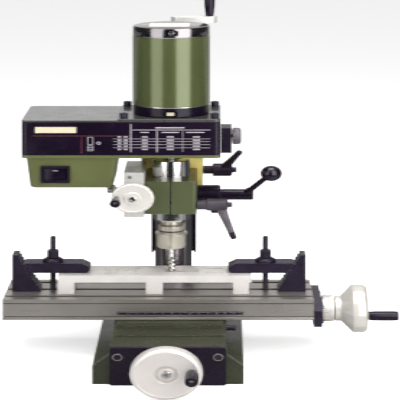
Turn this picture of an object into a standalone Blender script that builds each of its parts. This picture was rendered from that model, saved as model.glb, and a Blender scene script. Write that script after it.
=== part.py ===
"""Benchtop milling machine with a compound table, a round column and a belt-driven head.

Every size below is in millimetres and is turned into metres when a mesh is made.
The origin is on the bench, straight below the spindle. +Z is up, +X is to the
operator's right and -Y is towards the operator.
"""

import math

import bmesh
import bpy

MM = 0.001
GAP = 0.3
FINE, MEDIUM, COARSE = 32, 20, 12

# Levels of the main horizontal faces.
FOOT_TOP = 28.0
WAY_TOP = 59.0
SADDLE_TOP = 62.2
TABLE_BOTTOM, TABLE_TOP = 62.6, 96.0
TRAY_BOTTOM, TRAY_TOP, HOOD_TOP = 325.9, 330.4, 384.0
PLATE_TOP = 389.3
COLUMN_TOP = 515.0

# Column and lift screw.
COLUMN_Y, COLUMN_RADIUS, COLUMN_BORE = 109.0, 22.3, 15.0
LIFT_X, LIFT_RADIUS = 8.0, 4.0

# Compound table.
TABLE_LEFT, TABLE_RIGHT, TABLE_HALF = -188.9, 161.3, 49.0
TABLE_MIDDLE = (TABLE_LEFT + TABLE_RIGHT) / 2
SLOT_PITCH = 34.0
SADDLE_HALF, SADDLE_FRONT, SADDLE_BACK = 59.5, -74.0, 49.0
SCREW_RADIUS, SCREW_BORE = 5.0, 5.4
CROSS_SCREW_Z, LONG_SCREW_Z = 44.5, 64.7
WAY_HALF, FOOT_HALF, BASE_FRONT, BASE_BACK = 62.5, 81.5, -151.0, 150.0
PLATE_FRONT = -158.0

# Head.
HEAD_LEFT, HEAD_RIGHT, HEAD_FRONT, HEAD_BACK = -167.5, 56.6, -51.0, 64.0
LID_EDGE = -59.2
MOTOR_RADIUS = 44.4
QUILL_RADIUS, QUILL_TOP = 21.8, 312.7
BLOCK_HALF, BLOCK_FRONT, BLOCK_BACK = 29.6, -34.0, 55.0
BLOCK_BOTTOM, BLOCK_TOP = 230.2, 283.6
PINION_Y, PINION_Z = 29.5, 245.5
FEED_X, FEED_Z = -42.2, 261.0
COUNTER_X = -110.0
COLUMN_LOCK = (75.0, 275.5)
QUILL_LOCK = (-28.0, 244.2)
KNOB_AXIS = (-21.0, 355.4)

# Quill lever: where its arm leaves the shaft, and the middle of its ball.
LEVER_ROOT = (84.5, PINION_Y, PINION_Z)
LEVER_BALL = (114.8, -1.0, 288.6)
BALL_RADIUS = 12.4

# Workpiece and clamps.
WORK_BOTTOM, WORK_TOP, BAR_BOTTOM = TABLE_TOP + GAP, 126.5, 115.0
WORK_LEFT, WORK_RIGHT, WORK_FRONT, WORK_BACK = -128.5, 91.9, -24.0, 27.0
STUD_OFFSET = 122.0

COLOURS = {
    "green_paint": ((0.16, 0.20, 0.075), 0.45, 0.0),
    "yellow_paint": ((0.62, 0.52, 0.16), 0.5, 0.0),
    "black_plastic": ((0.02, 0.015, 0.03), 0.4, 0.0),
    "black_steel": ((0.02, 0.018, 0.025), 0.45, 0.6),
    "steel": ((0.55, 0.54, 0.52), 0.3, 1.0),
    "chrome": ((0.8, 0.8, 0.8), 0.1, 1.0),
    "aluminium": ((0.75, 0.74, 0.72), 0.35, 1.0),
    "table_grey": ((0.42, 0.40, 0.37), 0.35, 0.8),
    "brass": ((0.65, 0.5, 0.2), 0.35, 1.0),
    "rubber": ((0.015, 0.015, 0.015), 0.8, 0.0),
}


def clear_scene():
    for obj in list(bpy.data.objects):
        bpy.data.objects.remove(obj)


def material(name):
    found = bpy.data.materials.get(name)
    if found:
        return found
    colour, roughness, metallic = COLOURS[name]
    made = bpy.data.materials.new(name)
    made.use_nodes = True
    shader = made.node_tree.nodes["Principled BSDF"]
    shader.inputs["Base Color"].default_value = (*colour, 1.0)
    shader.inputs["Roughness"].default_value = roughness
    shader.inputs["Metallic"].default_value = metallic
    return made


# ---- Meshes ----------------------------------------------------------------


def prism(outline, axis, start, end):
    """A closed outline swept along an axis. Outline points are (y, z), (x, z) or (x, y)."""
    bm = bmesh.new()

    def corner(point, along):
        u, v = point
        return {"X": (along, u, v), "Y": (u, along, v), "Z": (u, v, along)}[axis]

    low = [bm.verts.new(corner(p, start)) for p in outline]
    high = [bm.verts.new(corner(p, end)) for p in outline]
    bm.faces.new(low)
    bm.faces.new(high)
    for i in range(len(outline)):
        j = (i + 1) % len(outline)
        bm.faces.new((low[i], low[j], high[j], high[i]))
    return bm


def box(x0, x1, y0, y1, z0, z1):
    return prism([(x0, y0), (x1, y0), (x1, y1), (x0, y1)], "Z", z0, z1)


def arc(centre, radius, start, end, steps):
    """Points on a circle from one angle to another, in degrees."""
    points = []
    for i in range(steps + 1):
        angle = math.radians(start + (end - start) * i / steps)
        points.append((centre[0] + radius * math.cos(angle), centre[1] + radius * math.sin(angle)))
    return points


def rounded(x0, x1, y0, y1, radius, steps=4):
    """A rectangle with round corners."""
    return (
        arc((x1 - radius, y1 - radius), radius, 0, 90, steps)
        + arc((x0 + radius, y1 - radius), radius, 90, 180, steps)
        + arc((x0 + radius, y0 + radius), radius, 180, 270, steps)
        + arc((x1 - radius, y0 + radius), radius, 270, 360, steps)
    )


def across(axis):
    """Two directions at right angles to a unit axis."""
    helper = (0.0, 0.0, 1.0) if abs(axis[2]) < 0.9 else (1.0, 0.0, 0.0)
    first = cross(axis, helper)
    size = math.sqrt(sum(c * c for c in first))
    first = tuple(c / size for c in first)
    return first, cross(axis, first)


def cross(a, b):
    return (a[1] * b[2] - a[2] * b[1], a[2] * b[0] - a[0] * b[2], a[0] * b[1] - a[1] * b[0])


def turned(profile, base, axis=(0, 0, 1), segments=MEDIUM, ring=False, twist=0.0):
    """A turned piece. The profile is (distance along the axis, radius); a ring profile closes on itself."""
    bm = bmesh.new()
    u, v = across(axis)
    rings = []
    for along, radius in profile:
        centre = [base[k] + axis[k] * along for k in range(3)]
        if radius == 0:
            rings.append([bm.verts.new(centre)])
            continue
        points = []
        for i in range(segments):
            angle = twist + 2 * math.pi * i / segments
            c, s = radius * math.cos(angle), radius * math.sin(angle)
            points.append(bm.verts.new([centre[k] + u[k] * c + v[k] * s for k in range(3)]))
        rings.append(points)
    pairs = list(zip(rings, rings[1:]))
    if ring:
        pairs.append((rings[-1], rings[0]))
    for low, high in pairs:
        for i in range(segments):
            j = (i + 1) % segments
            if len(low) == 1 and len(high) == 1:
                break
            if len(low) == 1:
                bm.faces.new((low[0], high[i], high[j]))
            elif len(high) == 1:
                bm.faces.new((low[i], low[j], high[0]))
            else:
                bm.faces.new((low[i], low[j], high[j], high[i]))
    if not ring:
        for end in (rings[0], rings[-1]):
            if len(end) > 1:
                bm.faces.new(end)
    return bm


def rod(start, end, radius, end_radius=None, segments=MEDIUM):
    """A straight round bar or taper between two points."""
    length = math.dist(start, end)
    axis = tuple((e - s) / length for s, e in zip(start, end))
    last = radius if end_radius is None else end_radius
    return turned([(0, radius), (length, last)], start, axis, segments)


def tube(start, length, outer, inner, axis=(0, 0, 1), segments=MEDIUM):
    return turned([(0, inner), (0, outer), (length, outer), (length, inner)], start, axis, segments, ring=True)


# ---- Objects ---------------------------------------------------------------


def add(name, bm, finish, origin=(0, 0, 0), smooth=True):
    """Makes an object from a mesh in millimetres, with its origin at a point in millimetres."""
    bmesh.ops.recalc_face_normals(bm, faces=bm.faces)
    for vertex in bm.verts:
        vertex.co = [(vertex.co[k] - origin[k]) * MM for k in range(3)]
    mesh = bpy.data.meshes.new(name)
    bm.to_mesh(mesh)
    bm.free()
    if smooth:
        mesh.shade_smooth()
        mesh.set_sharp_from_angle(angle=math.radians(35))
    obj = bpy.data.objects.new(name, mesh)
    obj.location = [c * MM for c in origin]
    if finish:
        mesh.materials.append(material(finish))
    bpy.context.scene.collection.objects.link(obj)
    return obj


def shape_with(obj, operation, shapes):
    """Adds or cuts each shape, with a Boolean modifier and a hidden tool object."""
    for bm in shapes:
        tool = add(f"{obj.name}_tool_{len(obj.modifiers)}", bm, None, smooth=False)
        tool.hide_render = True
        tool.display_type = "WIRE"
        modifier = obj.modifiers.new("shape", "BOOLEAN")
        modifier.operation = operation
        modifier.solver = "EXACT"
        modifier.object = tool


def join(obj, *shapes):
    shape_with(obj, "UNION", shapes)


def cut(obj, *shapes):
    shape_with(obj, "DIFFERENCE", shapes)


# ---- Base and column -------------------------------------------------------


def base_casting():
    shoulder = 45.0
    side = [(FOOT_HALF, 0), (FOOT_HALF, FOOT_TOP), (64, shoulder), (WAY_HALF, WAY_TOP)]
    front = side + [(-x, z) for x, z in reversed(side)]
    base = add("base_casting", prism(front, "Y", BASE_FRONT, BASE_FRONT + 6), "green_paint")
    groove = [(24.2, WAY_TOP + 1), (30.4, 46.6), (12.5, 46.6), (12.5, 34)]
    groove += [(-x, z) for x, z in reversed(groove)]
    join(
        base,
        box(-FOOT_HALF, FOOT_HALF, BASE_FRONT + 5, BASE_BACK, 0, FOOT_TOP),
        box(-WAY_HALF, WAY_HALF, BASE_FRONT + 5, 78, FOOT_TOP - 5, WAY_TOP),
        rod((0, COLUMN_Y, FOOT_TOP - 5), (0, COLUMN_Y, WAY_TOP - 1), 36, segments=FINE),
    )
    cut(
        base,
        prism(groove, "Y", -108, 82),
        box(-12.5, 12.5, BASE_FRONT - 1, -100, 34, 50.4),
        rod((0, COLUMN_Y, 8), (0, COLUMN_Y, WAY_TOP + 1), COLUMN_RADIUS + GAP, segments=FINE),
        box(8, 72, -138, 60, -1, 18),
        box(-72, -8, -138, 60, -1, 18),
        rod((24, -60, 54), (WAY_HALF + 1, -60, 54), 2.8, segments=COARSE),
    )


def front_plate():
    boss_end = -176.5
    outline = rounded(-WAY_HALF, WAY_HALF, 1, WAY_TOP, 2, 2)
    plate = add("front_plate", prism(outline, "Y", PLATE_FRONT, BASE_FRONT - GAP), "black_plastic")
    join(plate, rod((0, boss_end, CROSS_SCREW_Z), (0, PLATE_FRONT + 1, CROSS_SCREW_Z), 14))
    cut(plate, rod((0, boss_end - 1, CROSS_SCREW_Z), (0, -150, CROSS_SCREW_Z), SCREW_BORE))


def saddle_lock_screw():
    start = (30.5, -60, 54)
    profile = [(0, 0), (0, 2.4), (32.3, 2.4), (32.3, 4.2), (41, 4.2), (43, 3), (43, 0)]
    add("saddle_lock_screw", turned(profile, start, (1, 0, 0), COARSE), "black_steel", start)


def column():
    bottom = 8 + GAP
    tube_mesh = tube((0, COLUMN_Y, bottom), COLUMN_TOP - bottom, COLUMN_RADIUS, COLUMN_BORE, segments=FINE)
    cut(add("column", tube_mesh, "chrome"), box(2.5, 13.5, 113, 135, 200, 475))


def column_cap():
    start, top = COLUMN_TOP + GAP, 522
    cap = add("column_cap", rod((0, COLUMN_Y, start), (0, COLUMN_Y, top), COLUMN_RADIUS, segments=FINE), "black_steel")
    cut(cap, rod((LIFT_X, COLUMN_Y, start - 1), (LIFT_X, COLUMN_Y, top + 1), LIFT_RADIUS + 0.4, segments=COARSE))


# ---- Handwheels, screws and grips ------------------------------------------


def handwheel(name, base, axis, pin):
    """A turned aluminium wheel with a flared back, a dished face and a pin for its grip."""
    face = 36.8
    profile = [
        (0, SCREW_BORE), (0, 19.7), (6.5, 19.7), (19.3, 38), (33.9, 38), (face, 34.5),
        (face, 32), (face - 2.5, 30), (face - 2.5, 14), (face - 5, 12), (face - 5, SCREW_BORE),
    ]
    wheel = add(name, turned(profile, base, axis, FINE, ring=True), "aluminium", base)
    start = [pin[k] + axis[k] * (face - 8) for k in range(3)]
    end = [pin[k] + axis[k] * (face + 31) for k in range(3)]
    join(wheel, rod(start, end, 2.5, segments=COARSE))


def grip(name, base, axis, length=34.0, radii=(6.2, 7.3, 7.3, 5.8), bore=2.8):
    """A round-ended grip that spins on its pin."""
    places = (0, 1.5, length - 2, length)
    profile = [(0, bore), *zip(places, radii), (length, bore)]
    add(name, turned(profile, base, axis, MEDIUM, ring=True), "black_plastic", base)


def dial(name, base, axis):
    profile = [(0, SCREW_BORE), (0, 20), (1.5, 21.2), (11.6, 21.2), (13.1, 20), (13.1, SCREW_BORE)]
    add(name, turned(profile, base, axis, FINE, ring=True), "aluminium", base)


def cross_drive():
    axis, wheel = (0, -1, 0), (0, -191.2, CROSS_SCREW_Z)
    pin = (26.8, wheel[1], 47.5)
    handwheel("y_handwheel", wheel, axis, pin)
    add("y_leadscrew", rod((0, -226, CROSS_SCREW_Z), (0, 50, CROSS_SCREW_Z), SCREW_RADIUS), "steel", wheel)
    dial("y_dial", (0, -176.9, CROSS_SCREW_Z), axis)
    grip("y_grip", (pin[0], wheel[1] - 36.8 - GAP, pin[2]), axis)


def long_drive():
    axis, wheel = (1, 0, 0), (187.5, 0, LONG_SCREW_Z)
    pin = (wheel[0], -28.5, 62.0)
    handwheel("x_handwheel", wheel, axis, pin)
    add("x_leadscrew", rod((-180, 0, LONG_SCREW_Z), (222, 0, LONG_SCREW_Z), SCREW_RADIUS), "steel", wheel)
    dial("x_dial", (173.2, 0, LONG_SCREW_Z), axis)
    grip("x_grip", (wheel[0] + 36.8 + GAP, pin[1], pin[2]), axis)


def lift_drive():
    hub, end, arm_bottom, arm_top = (LIFT_X, COLUMN_Y), (43.5, COLUMN_Y), 523.0, 534.0
    outline = arc(end, 9, -90, 90, 10) + arc(hub, 9, 90, 270, 10)
    crank = add("z_crank", prism(outline, "Z", arm_bottom, arm_top), "aluminium", (*hub, arm_bottom))
    join(crank, rod((*end, arm_top - 4), (*end, 566), 2.5, segments=COARSE))
    cut(crank, rod((*hub, arm_bottom - 1), (*hub, arm_top + 1), LIFT_RADIUS + GAP, segments=COARSE))
    add("z_leadscrew", rod((*hub, 30), (*hub, 533.5), LIFT_RADIUS, segments=COARSE), "steel", (*hub, arm_bottom))
    grip("z_grip", (*end, arm_top + GAP), (0, 0, 1), 38, (5.2, 5.8, 6.6, 6.8, 5.4))


# ---- Saddle and table ------------------------------------------------------


def saddle():
    lower = [(23.8, SADDLE_TOP - 1), (23.8, WAY_TOP + GAP), (29.8, 47.1)]
    lower += [(-x, z) for x, z in reversed(lower)]
    upper = [(22, SADDLE_TOP - 1), (22, SADDLE_TOP), (27.8, 73)]
    upper += [(-y, z) for y, z in reversed(upper)]
    plate = box(-SADDLE_HALF, SADDLE_HALF, SADDLE_FRONT, SADDLE_BACK, WAY_TOP + GAP, SADDLE_TOP)
    body = add("saddle", plate, "green_paint")
    cover_top = WAY_TOP + 1.3
    way_cover = box(-SADDLE_HALF, SADDLE_HALF, SADDLE_FRONT - 35, SADDLE_FRONT + 1, WAY_TOP + GAP, cover_top)
    join(
        body,
        prism(lower, "Y", SADDLE_FRONT, SADDLE_BACK),
        prism(upper, "X", -SADDLE_HALF, SADDLE_HALF),
        way_cover,
    )
    cut(
        body,
        box(-6.5, 6.5, SADDLE_FRONT - 1, SADDLE_BACK + 1, 46, 50.6),
        box(-60, 60, -8, 8, 56.2, 74),
        box(-12.3, 12.3, -8, 8, 46, 58),
    )


def cross_nut():
    nut = add("cross_nut", box(-12, 12, -7.7, 7.7, 37, 72.6), "brass")
    cut(
        nut,
        rod((-13, 0, LONG_SCREW_Z), (13, 0, LONG_SCREW_Z), SCREW_BORE),
        rod((0, -9, CROSS_SCREW_Z), (0, 9, CROSS_SCREW_Z), SCREW_BORE),
    )


def table():
    top, lip = TABLE_TOP, 68.8
    half_lip = TABLE_HALF - 3
    outline = [(-half_lip, TABLE_BOTTOM), (-22.6, TABLE_BOTTOM), (-28.6, 73.6), (28.6, 73.6)]
    outline += [(22.6, TABLE_BOTTOM), (half_lip, TABLE_BOTTOM), (half_lip, lip), (TABLE_HALF, lip)]
    outline += [(TABLE_HALF, top)]
    for middle in (SLOT_PITCH, 0, -SLOT_PITCH):
        right = [(4, top), (4, 90), (6.5, 90), (6.5, 84)]
        outline += [(middle + y, z) for y, z in right]
        outline += [(middle - y, z) for y, z in reversed(right)]
    outline += [(-TABLE_HALF, top), (-TABLE_HALF, lip), (-half_lip, lip)]
    add("table", prism(outline, "X", TABLE_LEFT, TABLE_RIGHT), "table_grey", smooth=False)


def x_end_plate():
    start = TABLE_RIGHT + GAP
    outline = [(-40, 48), (40, 48), (44, 54), (44, 88), (-34, 88), (-46, 76), (-46, 54)]
    plate = add("x_end_plate", prism(outline, "X", start, start + 9.8), "black_steel", smooth=False)
    cut(plate, rod((start - 1, 0, LONG_SCREW_Z), (start + 11, 0, LONG_SCREW_Z), SCREW_BORE))


def workpiece():
    feet = ((-28.3, -9.3), (70.8, 88.8))
    outline = [(WORK_RIGHT, WORK_TOP), (WORK_LEFT, WORK_TOP), (WORK_LEFT, WORK_BOTTOM)]
    outline += [(-110.0, WORK_BOTTOM), (-110.0, BAR_BOTTOM)]
    for left, right in feet:
        outline += [(left, BAR_BOTTOM), (left, WORK_BOTTOM), (right, WORK_BOTTOM), (right, BAR_BOTTOM)]
    outline.append((WORK_RIGHT, BAR_BOTTOM))
    part = add("workpiece", prism(outline, "Y", WORK_FRONT, WORK_BACK), "aluminium", smooth=False)
    cut(part, prism(rounded(-8.5, 32, -6, 6, 5.9), "Z", BAR_BOTTOM - 1, WORK_TOP + 1))
    floor = WORK_TOP - 4
    for x0, x1, y0, y1 in ((-80, -36, -15, -8), (-80, -36, 10, 17), (38, 60, -14, -7), (38, 60, 9, 16)):
        cut(part, prism(rounded(x0, x1, y0, y1, 3.4), "Z", floor, WORK_TOP + 1))
    for x in (-72, -62, -52, -42):
        cut(part, rod((x, 1, floor), (x, 1, WORK_TOP + 1), 3.0, segments=COARSE))


# ---- Clamps ----------------------------------------------------------------


def mirrored(bm, side):
    """Moves a clamp piece drawn about X = 0 to the left (-1) or right (1) end of the table."""
    for vertex in bm.verts:
        vertex.co.x = TABLE_MIDDLE + side * (STUD_OFFSET + vertex.co.x)
    return bm


def clamp(side, word):
    """One strap clamp. Here X = 0 is its stud and +X points to the end of the table."""
    half, step_rise, step_run, steps = 12.5, 5.0, 2.3, 12
    block_back, toe, heel_slope = 45.9, 13.5, 0.46
    stairs = [(block_back, WORK_BOTTOM)]
    for i in range(steps):
        x, z = toe + step_run * i, WORK_BOTTOM + step_rise * i
        stairs += [(x, z), (x, z + step_rise)]
    stairs.append((block_back, WORK_BOTTOM + step_rise * steps))
    block = mirrored(prism(stairs, "Y", -half, half), side)
    add(f"step_block_{word}", block, "black_steel", smooth=False)

    low, high = WORK_TOP + 0.5, WORK_TOP + 16.3
    heel = toe + step_run * 6 - 0.5
    nose = -43.0
    strap = [(nose + 3.5, low), (heel - 2.0, low), (heel - 2.0 + heel_slope * (high - low), high)]
    strap += [(nose + 9.6, high), (nose, high - 6), (nose, low + 4)]
    bar = add(f"clamp_bar_{word}", mirrored(prism(strap, "Y", -half, half), side), "black_steel", smooth=False)
    cut(bar, mirrored(box(-9, 9, -4, 4, low - 1, high + 1), side))

    stud = mirrored(rod((0, 0, 88), (0, 0, 184), 3.5, segments=COARSE), side)
    bolt = add(f"clamp_stud_{word}", stud, "black_steel")
    join(bolt, mirrored(box(-6, 6, -6, 6, 84.4, 89.4), side))

    start = high + GAP
    washer = mirrored(turned([(0, 12), (3, 12), (6, 8.5)], (0, 0, start)), side)
    nut = add(f"clamp_nut_{word}", washer, "black_steel")
    join(nut, mirrored(turned([(5, 7), (18, 7)], (0, 0, start), segments=6), side))
    cut(nut, mirrored(rod((0, 0, start - 1), (0, 0, start + 19), 3.8, segments=COARSE), side))


# ---- Head: castings and belt box -------------------------------------------


def head_carrier():
    half, back, bottom, top = 35.5, 145.0, 253.0, TRAY_BOTTOM - GAP
    body = add("head_carrier", box(-half, half, BLOCK_BACK + GAP, back, bottom, top), "yellow_paint")
    join(body, box(-half, half, 26, 60, 300, top))
    bolt_y, bolt_z = COLUMN_LOCK
    cut(
        body,
        rod((0, COLUMN_Y, bottom - 1), (0, COLUMN_Y, top + 1), COLUMN_RADIUS + GAP, segments=FINE),
        box(-1.2, 1.2, 50, 90, bottom - 1, 296),
        rod((-half - 1, bolt_y, bolt_z), (half + 1, bolt_y, bolt_z), 3.4, segments=COARSE),
    )
    join(body, box(3, 13, 103, 134, 285, 300))
    cut(body, rod((LIFT_X, COLUMN_Y, 280), (LIFT_X, COLUMN_Y, 304), LIFT_RADIUS + 0.4, segments=COARSE))


def column_guard():
    half, front, back, wall = 27.3, 125.0, 137.0, 2.8
    outline = [(-half, front), (-half, back), (half, back), (half, front)]
    outline += [(half - wall, front), (half - wall, back - wall), (wall - half, back - wall), (wall - half, front)]
    add("column_guard", prism(outline, "Z", 118, 253 - GAP), "black_steel", smooth=False)


def quill_housing():
    block = add(
        "quill_housing",
        prism(rounded(-BLOCK_HALF, BLOCK_HALF, BLOCK_FRONT, BLOCK_BACK, 4, 3), "Z", BLOCK_BOTTOM, BLOCK_TOP),
        "green_paint",
    )
    bolt_y, bolt_z = QUILL_LOCK
    reach = BLOCK_HALF + 1
    cut(
        block,
        rod((0, 0, BLOCK_BOTTOM - 1), (0, 0, BLOCK_TOP + 1), QUILL_RADIUS + GAP, segments=FINE),
        box(-1, 1, BLOCK_FRONT - 1, -15, BLOCK_BOTTOM - 1, BLOCK_TOP + 1),
        rod((-reach, PINION_Y, PINION_Z), (reach, PINION_Y, PINION_Z), 8.2),
        rod((-reach, bolt_y, bolt_z), (reach, bolt_y, bolt_z), 2.8, segments=COARSE),
    )


def feed_housing():
    left, right = -53.0, -BLOCK_HALF - GAP
    plate = add("feed_housing", box(left, right, BLOCK_FRONT, 44, 225, 298), "aluminium")
    cut(
        plate,
        box(left + 3, right + 1, -25, 41, 231, 276),
        rod((FEED_X, BLOCK_FRONT - 1, FEED_Z), (FEED_X, -24, FEED_Z), 4.4, segments=COARSE),
    )


def pinion_boss():
    start = (BLOCK_HALF + GAP, PINION_Y, PINION_Z)
    add("pinion_boss", tube(start, 56.6 - start[0], 15.4, 9.1, (1, 0, 0)), "black_plastic")


def frustum(low, high, z_low, z_high):
    """A box whose bottom and top rectangles differ. Each is (x0, x1, y0, y1)."""
    bm = bmesh.new()
    levels = []
    for (x0, x1, y0, y1), z in ((low, z_low), (high, z_high)):
        levels.append([bm.verts.new(p) for p in ((x0, y0, z), (x1, y0, z), (x1, y1, z), (x0, y1, z))])
    bottom, top = levels
    bm.faces.new(bottom)
    bm.faces.new(top)
    for i in range(4):
        j = (i + 1) % 4
        bm.faces.new((bottom[i], bottom[j], top[j], top[i]))
    return bm


def belt_tray():
    floor = prism(rounded(HEAD_LEFT, HEAD_RIGHT, HEAD_FRONT, HEAD_BACK, 5), "Z", TRAY_BOTTOM, TRAY_TOP)
    tray = add("belt_tray", floor, "green_paint")
    low, high = (-158, -65, -44, 48), (-162.6, -59.2, -46.2, 50.2)
    join(tray, frustum(low, high, 275.5, TRAY_BOTTOM + 2))
    cut(
        tray,
        box(-150, -72, -36, 42, 281, TRAY_TOP + 1),
        box(-143, -116, -50, -30, 288.5, 308.5),
        rod((0, 0, TRAY_BOTTOM - 1), (0, 0, TRAY_TOP + 1), 9.8),
    )
    join(tray, rod((COUNTER_X, 0, 278), (COUNTER_X, 0, 380), 4, segments=COARSE))


def belt_hood():
    bottom = TRAY_TOP + GAP
    outer = prism(rounded(HEAD_LEFT, HEAD_RIGHT, HEAD_FRONT, HEAD_BACK, 5), "Z", bottom, HOOD_TOP)
    inner = prism(rounded(HEAD_LEFT + 3, HEAD_RIGHT - 3, HEAD_FRONT + 3, HEAD_BACK - 3, 2), "Z", 320, 390)
    cut(add("belt_hood", outer, "black_plastic"), inner)


def belt_lid():
    hinge = (HEAD_LEFT, HEAD_BACK, HOOD_TOP + 3.6)
    radius, right = 5, LID_EDGE - GAP / 2
    outline = [(right, HEAD_FRONT), (right, HEAD_BACK)]
    outline += arc((HEAD_LEFT + radius, HEAD_BACK - radius), radius, 90, 180, 4)
    outline += arc((HEAD_LEFT + radius, HEAD_FRONT + radius), radius, 180, 270, 4)
    add("belt_lid", prism(outline, "Z", HOOD_TOP + GAP, HOOD_TOP + 3.3), "black_plastic", hinge)


def motor_plate():
    radius, left = 5, LID_EDGE + GAP / 2
    outline = [(left, HEAD_BACK), (left, HEAD_FRONT)]
    outline += arc((HEAD_RIGHT - radius, HEAD_FRONT + radius), radius, 270, 360, 4)
    outline += arc((HEAD_RIGHT - radius, HEAD_BACK - radius), radius, 0, 90, 4)
    plate = add("motor_plate", prism(outline, "Z", HOOD_TOP + GAP, PLATE_TOP), "black_plastic")
    for x in (-52.5, 50):
        for y in (-41, 52):
            join(plate, turned([(-2, 5), (8, 5)], (x, y, PLATE_TOP), segments=6))
    cut(plate, rod((0, 0, HOOD_TOP - 1), (0, 0, PLATE_TOP + 1), 10))


def tension_bracket():
    y, z = KNOB_AXIS
    left, right = HEAD_RIGHT + 0.4, 69.2
    block = add("tension_bracket", box(left, right, -36, -6, 331, 371.5), "black_plastic")
    cut(block, rod((left - 1, y, z), (right + 1, y, z), 2.9, segments=COARSE))


def tension_knob():
    start = (57.3, *KNOB_AXIS)
    profile = [(0, 0), (0, 2.5), (12.2, 2.5), (12.2, 12), (13.5, 13), (20, 13), (22.7, 10.5), (22.7, 0)]
    add("tension_knob", turned(profile, start, (1, 0, 0)), "black_steel", start)


def switch_rocker():
    x, y, half = -129.5, -42.0, 12.1
    outline = [(x - half, y - 6.6), (x, y - 4.3), (x + half, y - 3.0), (x + half, y + 5), (x - half, y + 5)]
    add("switch_rocker", prism(outline, "Z", 289.4, 307.6), "black_plastic", (x, y, 298.5), smooth=False)


# ---- Head: motor and belt drive --------------------------------------------


def motor():
    shell_bottom, shell_top = 405.6, 519.3
    shell = tube((0, 0, shell_bottom), shell_top - shell_bottom, MOTOR_RADIUS, 41, segments=FINE)
    add("motor_shell", shell, "green_paint")
    low, rim = PLATE_TOP + GAP, shell_bottom - GAP
    bottom = [(low, 4.6), (low, MOTOR_RADIUS), (rim, MOTOR_RADIUS), (rim, 38), (low + 6, 38), (low + 6, 4.6)]
    add("motor_bottom_bell", turned(bottom, (0, 0, 0), segments=FINE, ring=True), "chrome")
    base, top = shell_top + GAP, 535.0
    cap = [(base + 8, 0), (base + 8, 38), (base, 38), (base, MOTOR_RADIUS), (top - 1.5, MOTOR_RADIUS)]
    cap += [(top, MOTOR_RADIUS - 1.5), (top, 0)]
    add("motor_top_bell", turned(cap, (0, 0, 0), segments=FINE), "chrome")
    rotor = [(357, 0), (357, 6), (359, 6), (359, 14), (364, 14), (364, 10), (376, 10), (376, 14), (380, 14)]
    rotor += [(380, 4), (408, 4), (408, 30), (500, 30), (500, 4), (522, 4), (522, 0)]
    add("motor_rotor", turned(rotor, (0, 0, 0)), "steel")


def pulleys():
    bore = 4.4
    counter = [(332.5, bore), (332.5, 15), (334, 15), (334, 12), (355, 12), (360, 16), (360, 35), (362, 35)]
    counter += [(362, 32), (378, 32), (378, 35), (380, 35), (380, bore)]
    add("countershaft_pulley", turned(counter, (COUNTER_X, 0, 0), ring=True), "aluminium", (COUNTER_X, 0, 332.5))
    spindle = [(316, 6.4), (316, 9.4), (333, 9.4), (333, 33), (336, 33), (336, 30), (352, 30), (352, 33)]
    spindle += [(354, 33), (354, 6.4)]
    add("spindle_pulley", turned(spindle, (0, 0, 0), ring=True), "aluminium")


def belt_outline(radius, counter_radius):
    """The outline of a taut belt round a spindle-side pulley and the countershaft pulley."""
    steps = 14
    lean = math.degrees(math.acos((radius - counter_radius) / COUNTER_X))
    return arc((0, 0), radius, -lean, lean, steps) + arc((COUNTER_X, 0), counter_radius, lean, 360 - lean, steps)


def belt(name, radius, counter_radius, bottom, top):
    gap, thick = 1.0, 3.4
    outer = prism(belt_outline(radius + thick, counter_radius + thick), "Z", bottom, top)
    inner = prism(belt_outline(radius + gap, counter_radius + gap), "Z", bottom - 1, top + 1)
    cut(add(name, outer, "rubber"), inner)


# ---- Quill and spindle -----------------------------------------------------


def quill_and_spindle():
    sleeve = [(QUILL_TOP, 10.5), (QUILL_TOP, QUILL_RADIUS), (214.6, QUILL_RADIUS), (204, 12.5), (204, 10.5)]
    add("quill_sleeve", turned(sleeve, (0, 0, 0), segments=FINE, ring=True), "chrome")
    shaft = [(352, 0), (352, 5.8), (311, 5.8), (311, 10), (181, 10), (181, 4.4), (201, 4.4), (201, 0)]
    add("spindle_shaft", turned(shaft, (0, 0, 0)), "steel")
    nut = [(203.2, 10.3), (203.2, 13), (196, 15.5), (191, 18.3), (169, 18.3), (166.6, 16.5)]
    nut += [(166.6, 4.6), (172, 4.6), (172, 10.3)]
    add("collet_nut", turned(nut, (0, 0, 0), segments=FINE, ring=True), "steel")
    cutter = [(199, 0), (199, 4), (150, 4), (148, 4.4), (127.2, 4.4), (126.9, 4), (126.9, 0)]
    add("end_mill", turned(cutter, (0, 0, 0), segments=COARSE), "steel")


def along_lever(distance):
    """A point on the lever arm's centre line, this far from the shaft's axis."""
    length = math.dist(LEVER_ROOT, LEVER_BALL)
    return tuple(r + (b - r) * distance / length for r, b in zip(LEVER_ROOT, LEVER_BALL))


def quill_lever():
    origin = (0, PINION_Y, PINION_Z)
    profile = [(-49.5, 0), (-49.5, 5), (-46.5, 5), (-46.5, 10.5), (-38, 10.5), (-38, 7.2), (30.2, 7.2)]
    profile += [(30.2, 8.7), (93.3, 8.7), (94.8, 7.2), (94.8, 0)]
    shaft = add("pinion_shaft", turned(profile, origin, (1, 0, 0)), "black_steel", origin)
    join(shaft, rod(along_lever(4), along_lever(12), 5.6))
    arm_end = math.dist(LEVER_ROOT, LEVER_BALL) - BALL_RADIUS - GAP
    add("lever_arm", rod(along_lever(12 + GAP), along_lever(arm_end), 4.2, 3.6), "black_steel", origin)
    steps = 12
    sphere = []
    for i in range(steps + 1):
        angle = math.pi * i / steps
        radius = 0 if i in (0, steps) else BALL_RADIUS * math.sin(angle)
        sphere.append((-BALL_RADIUS * math.cos(angle), radius))
    length = math.dist(LEVER_ROOT, LEVER_BALL)
    axis = tuple((b - r) / length for r, b in zip(LEVER_ROOT, LEVER_BALL))
    add("lever_ball", turned(sphere, LEVER_BALL, axis), "black_plastic", origin)


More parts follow.
